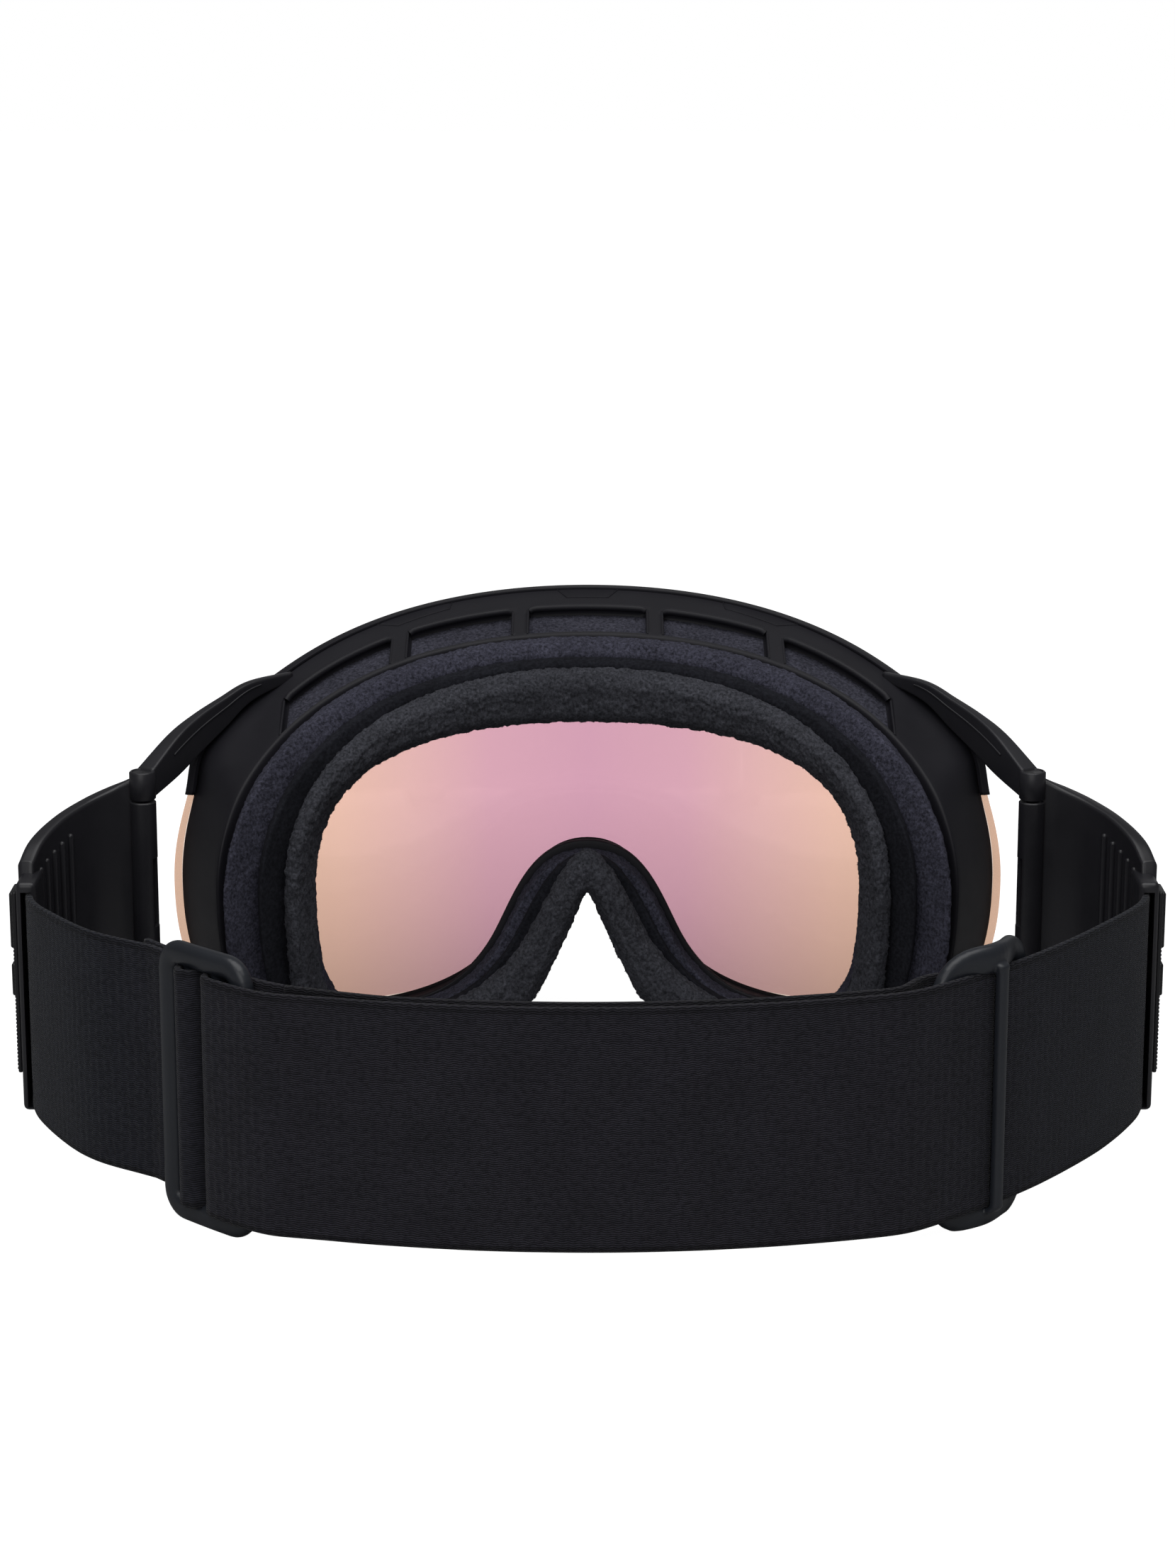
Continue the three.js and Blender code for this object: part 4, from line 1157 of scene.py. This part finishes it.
# A woven band: a flat section with a fuller selvedge, swept along a plan route.
def band(name, route, material, seed, softSpan=None, slotAt=None):
    line = easedRoute(route, strapDetail["spacing"], softSpan)
    run = np.concatenate([[0], np.cumsum(np.linalg.norm(np.diff(line, axis=0), axis=1))])
    heading = np.gradient(line, axis=0)
    heading /= np.linalg.norm(heading, axis=1, keepdims=True)
    side = np.column_stack([-heading[:, 1], heading[:, 0]])
    across = np.linspace(0, 1, strapDetail["columns"])
    across = 0.5 - 0.5 * np.cos(math.pi * across) * (0.35 + 0.65 * np.abs(np.cos(math.pi * across)) ** 0.2)
    half = np.where(np.minimum(across, 1 - across) * sizes["strapWidth"] < 1.5, strapHalf, strapHalf - 0.07)
    fall = np.clip(np.minimum(across, 1 - across) * sizes["strapWidth"] / 0.5, 0.0, 1.0)
    half = half * np.sqrt(1 - (1 - fall) ** 2 * 0.75)
    section = [(h, u) for h, u in zip(half, across)] + [(-h, u) for h, u in zip(half[::-1], across[::-1])]
    rows, uv = [], []
    for i, (point, out) in enumerate(zip(line, side)):
        gone = 1.0 if slotAt is None else min(1.0, abs(run[i] - slotAt * run[-1]) / strapDetail["taper"])
        inset = strapDetail["slotInset"] * (1 - gone * gone * (3 - 2 * gone))
        low, wide = sizes["strapBottom"] + inset, sizes["strapWidth"] - 2 * inset
        rows.append([(point[0] + out[0] * h, point[1] + out[1] * h, low + wide * u) for h, u in section])
        uv += [(run[i] * mm, sizes["strapWidth"] * u * mm) for _, u in section]
    grid = np.array(rows)
    heights = grid[:, :, 2].ravel()
    where = np.column_stack([np.repeat(run, len(section)), np.zeros(len(heights)), heights])
    wave = latticeNoise(where, strapDetail["waveLength"], seed) * strapDetail["ripple"]
    grid[:, :, :2] += wave.reshape(grid.shape[:2])[:, :, None] * side[:, None]
    points, faces = loftMesh(grid)
    middle = sizes["strapWidth"] / 2 * mm
    uv += [(0, middle), (run[-1] * mm, middle)]
    piece = meshPiece(name, points, faces, [material], None, uv)
    return piece, run[-1] * mm


leftRoute = [
    *stretch(slotEndS, buckleBars["far"] + 26),
    *stretch(buckleBars["far"] + 12, buckleBars["far"] - 2, innerW),
    strapPoint(buckleBars["sideBand"] + wrapRadius * 0.95, 0.4 - buckleBars["lift"]),
    *wrapRound(buckleBars["sideBand"], -buckleBars["lift"], 60, -140),
    *stretch(buckleBars["sideBand"] + 5, buckleBars["sideBand"] + 22,
             innerW - sizes["strapThickness"] - sizes["gap"]),
]
backRoute = [
    *stretch(-sliderBars["middle"] + 0.15, 50),
    *stretch(60, buckleBars["backBand"] - 1, wrapRadius - buckleBars["lift"]),
    *wrapRound(buckleBars["backBand"], -buckleBars["lift"], 20, 180),
    *stretch(buckleBars["backBand"] - 3, returnStart, innerW)[1:],
]
wrapEnd = [strapPoint(-sliderBars["near"] - wrapRadius * math.sin(a), -sliderBars["lift"] + wrapRadius * math.cos(a))
           for a in np.radians(np.linspace(180, 102, 8))]
returnRoute = [
    strapPoint(returnStart - 0.3, innerW), strapPoint(50, (innerW + returnW) / 2),
    *stretch(40, -sliderBars["near"] + 8, returnW)[:-1],
    strapPoint(-sliderBars["near"] + 4, -sliderBars["lift"] - wrapRadius),
    *wrapEnd,
]
rightRoute = stretch(-sliderBars["middle"] - 0.15, -slotEndS)

strapLeft, leftLength = band("strapLeft", leftRoute, strapCloth, 3, (2, 62), 0)
strapBack, backLength = band("strapBack", backRoute, strapCloth, 4)
strapReturn, returnLength = band("strapReturn", returnRoute, shadedReturnCloth, 5)
rightLength = slotEndS - sliderBars["middle"]
strapRight, rightLength = band("strapRight", rightRoute, strapCloth, 6, (rightLength - 62, rightLength - 2), 1)


def planSpot(s, z=0.028):
    p = strapPoint(s) * mm
    return (p[0], p[1], z)


planSpot(slotEndS - 9)
planSpot(slotEndS - 46)
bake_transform(strapLeft)
planSpot(-slotEndS + 9)
planSpot(-slotEndS + 34)
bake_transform(strapRight)
planSpot(20)
planSpot(-66)
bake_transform(strapReturn)
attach(strapBack, "mask")
for piece, node, length, slotName, rests in (
    (strapLeft, "strap_left", leftLength, "strap", ["leftBuckle", "leftOutrigger"]),
    (strapBack, "strap_back", backLength, "strap", ["leftBuckle", "slidingBuckle"]),
    (strapReturn, "strap_return", returnLength, "strap_return", ["slidingBuckle"]),
    (strapRight, "strap_right", rightLength, "strap", ["slidingBuckle", "rightOutrigger"]),
):
    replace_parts(piece, node)
print("straps made", [round(v, 4) for v in (leftLength, backLength, returnLength, rightLength)])

# ---------- buckles ----------

buckleDetail = dict(
    topZ=strapTop + 2.25, bottomZ=2.05, corner=3.6, deep=1.85, barDeep=1.2, wide=2.3, barWide=1.25,
    flare=0.9, flareFrom=22.5, flareSpan=4, archRise=0.22, voxel=0.26, smooth=4,
)


# A bar of oval section along points, given the outward direction and the half width at each.
def ovalBar(points, outs, closed, wide):
    points, outs = np.array(points, float), np.array(outs, float)
    if closed:
        heading = np.roll(points, -1, 0) - np.roll(points, 1, 0)
    else:
        heading = np.gradient(points, axis=0)
    heading /= np.linalg.norm(heading, axis=1, keepdims=True)
    side = np.cross(heading, outs)
    side /= np.linalg.norm(side, axis=1, keepdims=True)
    angles = np.linspace(0, 2 * math.pi, 20, endpoint=False)
    c, s = np.cos(angles), np.sin(angles)
    c = np.sign(c) * np.abs(c) ** 0.85
    s = np.sign(s) * np.abs(s) ** 0.85
    deep = buckleDetail["deep" if closed else "barDeep"]
    wide = np.broadcast_to(wide, len(points))[:, None, None]
    ring = outs[:, None] * (c * deep)[None, :, None] + side[:, None] * s[None, :, None] * wide
    return loftMesh(points[:, None] + ring, closed)


def barSpot(s, w, z):
    p, q = strapPoint(s, w), strapPoint(s, w + 1)
    return (*p, z), (*(q - p), 0.0)


# The loop lies at depth w; over the strap's edges it arches outward, half as far below as above.
def buckleLoop(sign, near, far, w, deeper, nearCorner, arch):
    d, corner = buckleDetail, buckleDetail["corner"]
    top, low = d["topZ"] - deeper, d["bottomZ"]
    flat = []
    turns = [(far - corner, top - corner, 0, corner), (near + nearCorner, top - nearCorner, 90, nearCorner),
             (near + nearCorner, low + nearCorner, 180, nearCorner), (far - corner, low + corner, 270, corner)]
    for s, z, start, r in turns:
        flat += [(s + r * math.cos(a), z + r * math.sin(a)) for a in np.radians(np.linspace(start, start + 90, 9))]
    dense = []
    for k, (s, z) in enumerate(flat):
        ns, nz = flat[(k + 1) % len(flat)]
        steps = max(1, int(math.hypot(ns - s, nz - z) / 1.2))
        dense += [(mix(s, ns, i / steps), mix(z, nz, i / steps)) for i in range(steps)]
    spots = []
    for s, z in dense:
        bulge = arch * math.sin(math.pi * (s - near) / (far - near)) ** 2
        above = z > (top + low) / 2
        spots.append(barSpot(sign * s, w + bulge * (1 if above else 0.5), z + bulge * d["archRise"] * above))
    return ovalBar([p for p, _ in spots], [o for _, o in spots], True, d["wide"] + deeper)


def buckleBar(sign, s, w, topW, lowW):
    d = buckleDetail
    knots = [(d["topZ"], topW), (strapTop + 1.3, w), (sizes["strapBottom"] - 0.2, w), (d["bottomZ"], lowW)]
    heights = np.linspace(knots[0][0], knots[-1][0], 50)
    depth = np.interp(-heights, [-k[0] for k in knots], [k[1] for k in knots])
    spots = [barSpot(sign * s, v, z) for v, z in zip(depth, heights)]
    fromMiddle = np.abs(heights - (d["topZ"] + d["bottomZ"]) / 2)
    flare = d["flare"] * np.clip((fromMiddle - d["flareFrom"]) / d["flareSpan"], 0, 1) ** 2
    return ovalBar([p for p, _ in spots], [o for _, o in spots], False, d["barWide"] + flare)


# The bars run into each other as one moulding.
def moulded(name, parts, material):
    piece = joinPieces(name, [meshPiece(f"{name}{i}", *part, [material]) for i, part in enumerate(parts)])
    remesh = piece.modifiers.new("mould", "REMESH")
    remesh.mode = "VOXEL"
    remesh.voxel_size = buckleDetail["voxel"] * mm
    remesh.use_smooth_shade = True
    ease = piece.modifiers.new("ease", "SMOOTH")
    ease.factor = 0.5
    ease.iterations = buckleDetail["smooth"]
    settle(piece)
    if not piece.data.materials:
        piece.data.materials.append(material)
    return piece


leftParts = [buckleLoop(1, buckleBars["near"], buckleBars["far"], -buckleBars["lift"], 0.1, 3.9, 0)]
leftParts += [buckleBar(1, buckleBars[k], *[-buckleBars["lift"]] * 3) for k in ("backBand", "sideBand")]
arch, lift = sliderBars["arch"], sliderBars["lift"]
sliderParts = [buckleLoop(-1, sliderBars["near"], sliderBars["far"], -lift, 0.6, 7, arch),
               buckleBar(-1, sliderBars["middle"], 2.2, arch - lift, arch / 2 - lift)]
buckles = [
    ("leftBuckle", leftParts, "mask", "left_buckle"),
    ("slidingBuckle", sliderParts, "slider", "sliding_buckle"),
]
for name, parts, body, node in buckles:
    buckle = moulded(name, parts, plastics["buckle"])
    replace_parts(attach(buckle, body), node)
print("buckles made")

# ---------- hinges and outriggers, made on the left and mirrored ----------

hinge = dict(x=95, y=-24, middleZ=42.3, halfHeight=26.6, knuckle=6.3, radius=2.8, pin=1.2)
hingeTop, hingeBottom = hinge["middleZ"] + hinge["halfHeight"], hinge["middleZ"] - hinge["halfHeight"]
outriggerDetail = dict(
    plate=[(97.2, -24.6, 67.3, 17.2, 0.9), (101.5, -23.6, 65.5, 14.7, 1.5), (106.6, -19.2, 63.8, 11.2, 1.5),
           (111.4, -12, 61.9, 7.7, 1.5), (115, -4.5, 59.1, 4.3, 1.7), (116.6, 1.5, 55.7, 2.9, 1.7)],
    upperArm=[(66, -61, 81.5, 0.8, 1), (74.4, -53.3, 79.8, 1, 2.2), (80, -47, 76.3, 1.1, 3.4),
              (85, -40.7, 73.1, 1.3, 4.2), (89.3, -34.2, 70.0, 1.7, 4.4),
              (94.6, -25.5, hingeTop - hinge["knuckle"] / 2, 2.2, hinge["knuckle"] / 2)],
    lowerArm=[(76, -54, 14.7, 1.4, 2.4), (86, -40, 16.7, 1.8, 2.8),
              (94.6, -25.5, hingeBottom + hinge["knuckle"] / 2, 2.2, hinge["knuckle"] / 2)],
    boxHalf=2.15, boxY=(-6, 9.2), boxZ=(sizes["strapBottom"] + 0.2, strapTop + 1.6),
    ribs=dict(count=5, start=0.56, end=0.86, radius=0.72, length=44, rise=1.62),
)


# A smooth curve through points that passes each, as values at even shares of their number.
def throughPoints(points, count):
    points = np.array(points, float)
    padded = np.vstack([2 * points[0] - points[1], points, 2 * points[-1] - points[-2]])
    out = []
    for t in np.linspace(0, len(points) - 1, count):
        i = min(int(t), len(points) - 2)
        u = t - i
        a, b, c, d = padded[i:i + 4]
        bend, twist = 2 * a - 5 * b + 4 * c - d, 3 * b - a - 3 * c + d
        out.append(0.5 * (2 * b + (c - a) * u + bend * u ** 2 + twist * u ** 3))
    return np.array(out)


def roundedBar(name, stops, material, corner=0.7, count=70):
    line = throughPoints(stops, count)
    heading = np.gradient(line[:, :3], axis=0)
    across = np.column_stack([heading[:, 1], -heading[:, 0], np.zeros(count)])
    across /= np.linalg.norm(across, axis=1, keepdims=True)
    up = np.array([0, 0, 1.0])
    signs = ((1, 1), (1, -1), (-1, -1), (-1, 1))
    corners = [line[:, :3] + a * line[:, 3:4] * across + b * line[:, 4:5] * up for a, b in signs]
    points, faces = loftMesh(roundedSections(np.stack(corners, 1), corner, 5))
    return meshPiece(name, points, faces, [material])


# The hinge barrel with a sunk ring round the pin's head.
def knucklePiece(name, low, high, sunkTop, material):
    r, bevel, bore = hinge["radius"], 0.35, hinge["pin"] + 0.25
    profile = [(bore, low + 0.02), (r - bevel, low), (r, low + bevel), (r, high - bevel)]
    profile += [(r - bevel * 0.6, high - 0.08), (r - bevel, high)]
    if sunkTop:
        profile += [(2.32, high), (2.2, high - 0.12), (2.15, high - 1.1), (bore, high - 1.15)]
    else:
        profile += [(bore, high - 0.02)]
    return turnedPiece(name, profile, hinge["x"], hinge["y"], material)


def hingeArmPiece(name, stops, low, sunkTop):
    parts = [roundedBar(name + "Bar", stops, plastics["arm"]),
             knucklePiece(name + "Barrel", low, low + hinge["knuckle"], sunkTop, plastics["arm"])]
    ridge = throughPoints(stops, 40)
    heading = np.gradient(ridge[:, :3], axis=0)
    inward = np.column_stack([-heading[:, 1], heading[:, 0], np.zeros(40)])
    inward /= np.linalg.norm(inward, axis=1, keepdims=True)
    seam = (ridge[:, :3] + inward * (ridge[:, 3:4] + 0.02) + np.array([0, 0, 0.35]) * ridge[:, 4:5])[6:34]
    parts.append(grow(linePiece(name + "Seam", [seam]), beadTree,
                      Radius=0.22 * mm, Sides=8, Material=plastics["arm"]))
    return joinPieces(name, parts)


def outriggerPlate():
    stops = throughPoints(outriggerDetail["plate"], 90)
    heading = np.gradient(stops[:, :2], axis=0)
    across = np.column_stack([heading[:, 1], -heading[:, 0]])
    across /= np.linalg.norm(across, axis=1, keepdims=True)
    thin = stops[:, 4:5]
    corners = []
    for sign, column in ((1, 2), (1, 3), (-1, 3), (-1, 2)):
        plan = stops[:, :2] + across * sign * thin
        corners.append(np.column_stack([plan, stops[:, column]]))
    sections = np.stack(corners, 1)
    points, faces = loftMesh(roundedSections(sections, 1.1, 6))
    return meshPiece("plate", points, faces, [plastics["outrigger"]])


def outriggerSleeve():
    bottom, top = hingeBottom + hinge["knuckle"] + 0.3, hingeTop - hinge["knuckle"] - 0.3
    r, bore = hinge["radius"], hinge["pin"] + 0.3
    profile = [(bore, bottom), (r - 0.25, bottom), (r, bottom + 0.25), (r, top - 0.25), (r - 0.25, top), (bore, top)]
    sleeve = turnedPiece("sleeve", profile, hinge["x"], hinge["y"], plastics["outrigger"])
    notch = blockPiece("notch", (hinge["x"] - 4, hinge["x"] - 1.9), (hinge["y"] - 1, hinge["y"] + 4),
                       (hinge["middleZ"] - 7.6, hinge["middleZ"] + 7.6), plastics["outrigger"])
    sleeve = cutAway(sleeve, notch)
    sleeve.data.set_sharp_from_angle(angle=math.radians(40))
    return sleeve


def strapBoxPiece():
    half, slotHalf = outriggerDetail["boxHalf"], strapHalf + 0.3
    z = outriggerDetail["boxZ"]
    box = blockPiece("box", (slotX - half, slotX + half), outriggerDetail["boxY"], z, plastics["outrigger"])
    box = softenEdges(box, 1.15, 4)
    slot = blockPiece("slotTool", (slotX - slotHalf, slotX + slotHalf), (anchorSpot["y"], 12),
                      (sizes["strapBottom"] + 0.9, strapTop - 0.5), plastics["outrigger"])
    bore = [(1.5, sizes["strapBottom"] - 0.3), (1.5, strapTop + 0.3)]
    pocket = turnedPiece("pocketTool", bore, slotX, anchorSpot["y"], plastics["outrigger"], 24)
    box = cutAway(box, slot, pocket)
    box.data.set_sharp_from_angle(angle=math.radians(35))
    return box


def plateRibs():
    ribs = outriggerDetail["ribs"]
    line = throughPoints(outriggerDetail["plate"], 101)
    heading = np.gradient(line[:, :2], axis=0)
    inward = np.column_stack([-heading[:, 1], heading[:, 0]])
    inward /= np.linalg.norm(inward, axis=1, keepdims=True)
    low, high = int(ribs["start"] * 100), int(ribs["end"] * 100)
    path = [(*(line[i, :2] + inward[i] * ribs["rise"]), (line[i, 2] + line[i, 3]) / 2) for i in range(low, high + 1)]
    return grow(linePiece("ribs", [path]), ribTree, Count=ribs["count"], Radius=ribs["radius"] * mm,
                Length=ribs["length"] * mm, Material=plastics["outrigger"])


coverDetail = dict(sheet=((-3, 7.5), (11.7, 50.8)), bars=[(28, 35), (38.3, 50.3)], barY=(-1.5, 6), stitches=44)


def coverPieces():
    x = slotX + outriggerDetail["boxHalf"] + 0.05
    sheet = softenEdges(blockPiece("sheet", (x, x + 0.95), *coverDetail["sheet"], plastics["cover"]), 0.35)
    bars = [softenEdges(blockPiece(f"bar{i}", (x + 0.3, x + 1.8), coverDetail["barY"], z, plastics["cover"]), 0.5, 4)
            for i, z in enumerate(coverDetail["bars"])]
    rows = [[(x + 0.98, y, z) for z in np.linspace(12.6, 47.8, 20)] for y in (-2.2, 6.8)]
    dots = grow(linePiece("dots", rows), ribTree, Count=coverDetail["stitches"],
                Radius=0.16 * mm, Length=0.3 * mm, Material=plastics["cover"])
    return [sheet, *bars, dots]


leftUpper = hingeArmPiece("leftUpperArm", outriggerDetail["upperArm"], hingeTop - hinge["knuckle"], True)
leftLower = hingeArmPiece("leftLowerArm", outriggerDetail["lowerArm"], hingeBottom, False)
leftOutrigger = joinPieces("leftOutrigger", [outriggerPlate(), outriggerSleeve(), strapBoxPiece(), plateRibs()])
leftCover = joinPieces("leftCover", coverPieces())
sidePieces = [
    (leftUpper, "upper_hinge_arm", "mask", "arm"), (leftLower, "lower_hinge_arm", "mask", "arm"),
    (leftOutrigger, "outrigger", "side", "outrigger"), (leftCover, "outrigger_cover", "side", "cover"),
]
for left, part, body, slotName in sidePieces:
    right = mirroredPiece(left, left.name.replace("left", "right"))
    for piece, word in ((left, "left"), (right, "right")):
        rides = body if body == "mask" else f"{word}_side"
        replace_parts(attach(piece, rides), f"{word}_{part}")
print("hinges and outriggers made")

# ---------- CAD parts that stay, with their finish ----------


def finishNode(name, material):
    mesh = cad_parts[name].data
    mesh.materials.clear()
    mesh.materials.append(material)


pinFinish = steel()
for word in ("left", "right"):
    finishNode(f"{word}_hinge_pin", pinFinish)
    finishNode(f"{word}_strap_anchor", plastics["anchor"])

# ---------- floor, lights and camera ----------

stageDetail = dict(
    floorSize=6.0, floorZ=-0.05, floorLift=0.97, floorDark=(0.38, 0.38, 0.385), floorLight=(0.42, 0.42, 0.425),
    skyDim=0.11, skyBright=1.0,
)


def makeFloor():
    half = stageDetail["floorSize"] / 2 / mm
    corners = [(x * half, y * half, stageDetail["floorZ"]) for x, y in ((-1, -1), (1, -1), (1, 1), (-1, 1))]
    floor = meshPiece("floor", corners, [(0, 1, 2, 3)])
    material, tree, shader = newMaterial("paleFloor", stageDetail["floorDark"], 0.9, Specular_IOR_Level=0.1)
    shader.inputs["Emission Color"].default_value = (1, 1, 1, 1)
    seen = addNode(tree, "ShaderNodeLightPath").outputs["Is Camera Ray"]
    tree.links.new(rangeFrom(tree, seen, 0, stageDetail["floorLift"]), shader.inputs["Emission Strength"])
    stops = [(0.3, stageDetail["floorDark"]), (0.7, stageDetail["floorLight"])]
    tree.links.new(rampFrom(tree, objectNoise(tree, 3, 2), stops), shader.inputs["Base Color"])
    floor.data.materials.append(material)


def areaLight(name, spot, target, size, watts):
    data = bpy.data.lights.new(name, "AREA")
    data.shape = "RECTANGLE"
    data.size, data.size_y = size
    data.energy = watts
    lamp = bpy.data.objects.new(name, data)
    lamp.location = spot
    lamp.rotation_euler = (Vector(target) - Vector(spot)).to_track_quat("-Z", "Y").to_euler()
    bpy.context.scene.collection.objects.link(lamp)


# The backdrop is white where the camera sees it, straight or through the lens, and dimmer as a light.
def makeSky():
    world = bpy.data.worlds.new("studio")
    bpy.context.scene.world = world
    world.use_nodes = True
    tree = world.node_tree
    seen = addNode(tree, "ShaderNodeLightPath").outputs["Is Camera Ray"]
    level = rangeFrom(tree, seen, stageDetail["skyDim"], stageDetail["skyBright"])
    tree.links.new(level, tree.nodes["Background"].inputs["Strength"])
    tree.nodes["Background"].inputs["Color"].default_value = (1, 1, 1, 1)


def makeCamera():
    data = bpy.data.cameras.new("camera")
    data.lens, data.sensor_width, data.sensor_fit = 84.2, 36, "AUTO"
    data.clip_start, data.clip_end = 0.05, 20
    camera = bpy.data.objects.new("camera", data)
    camera.location = (0, 0.73554, 0.25536)
    camera.rotation_euler = (math.radians(76), 0, math.pi)
    bpy.context.scene.collection.objects.link(camera)
    bpy.context.scene.camera = camera


makeFloor()
makeSky()
areaLight("topSoftbox", (0.0, 0.25, 1.1), (0, 0, 0.05), (1.3, 1.0), 7.6)
areaLight("behindSoftbox", (0.35, 1.5, 0.75), (0, 0, 0.04), (1.2, 0.8), 4.4)
areaLight("frontFill", (-0.3, -1.4, 0.6), (0, 0, 0.04), (1.2, 0.8), 0.6)
makeCamera()
bpy.context.scene.view_settings.view_transform = "Standard"
print("stage made")
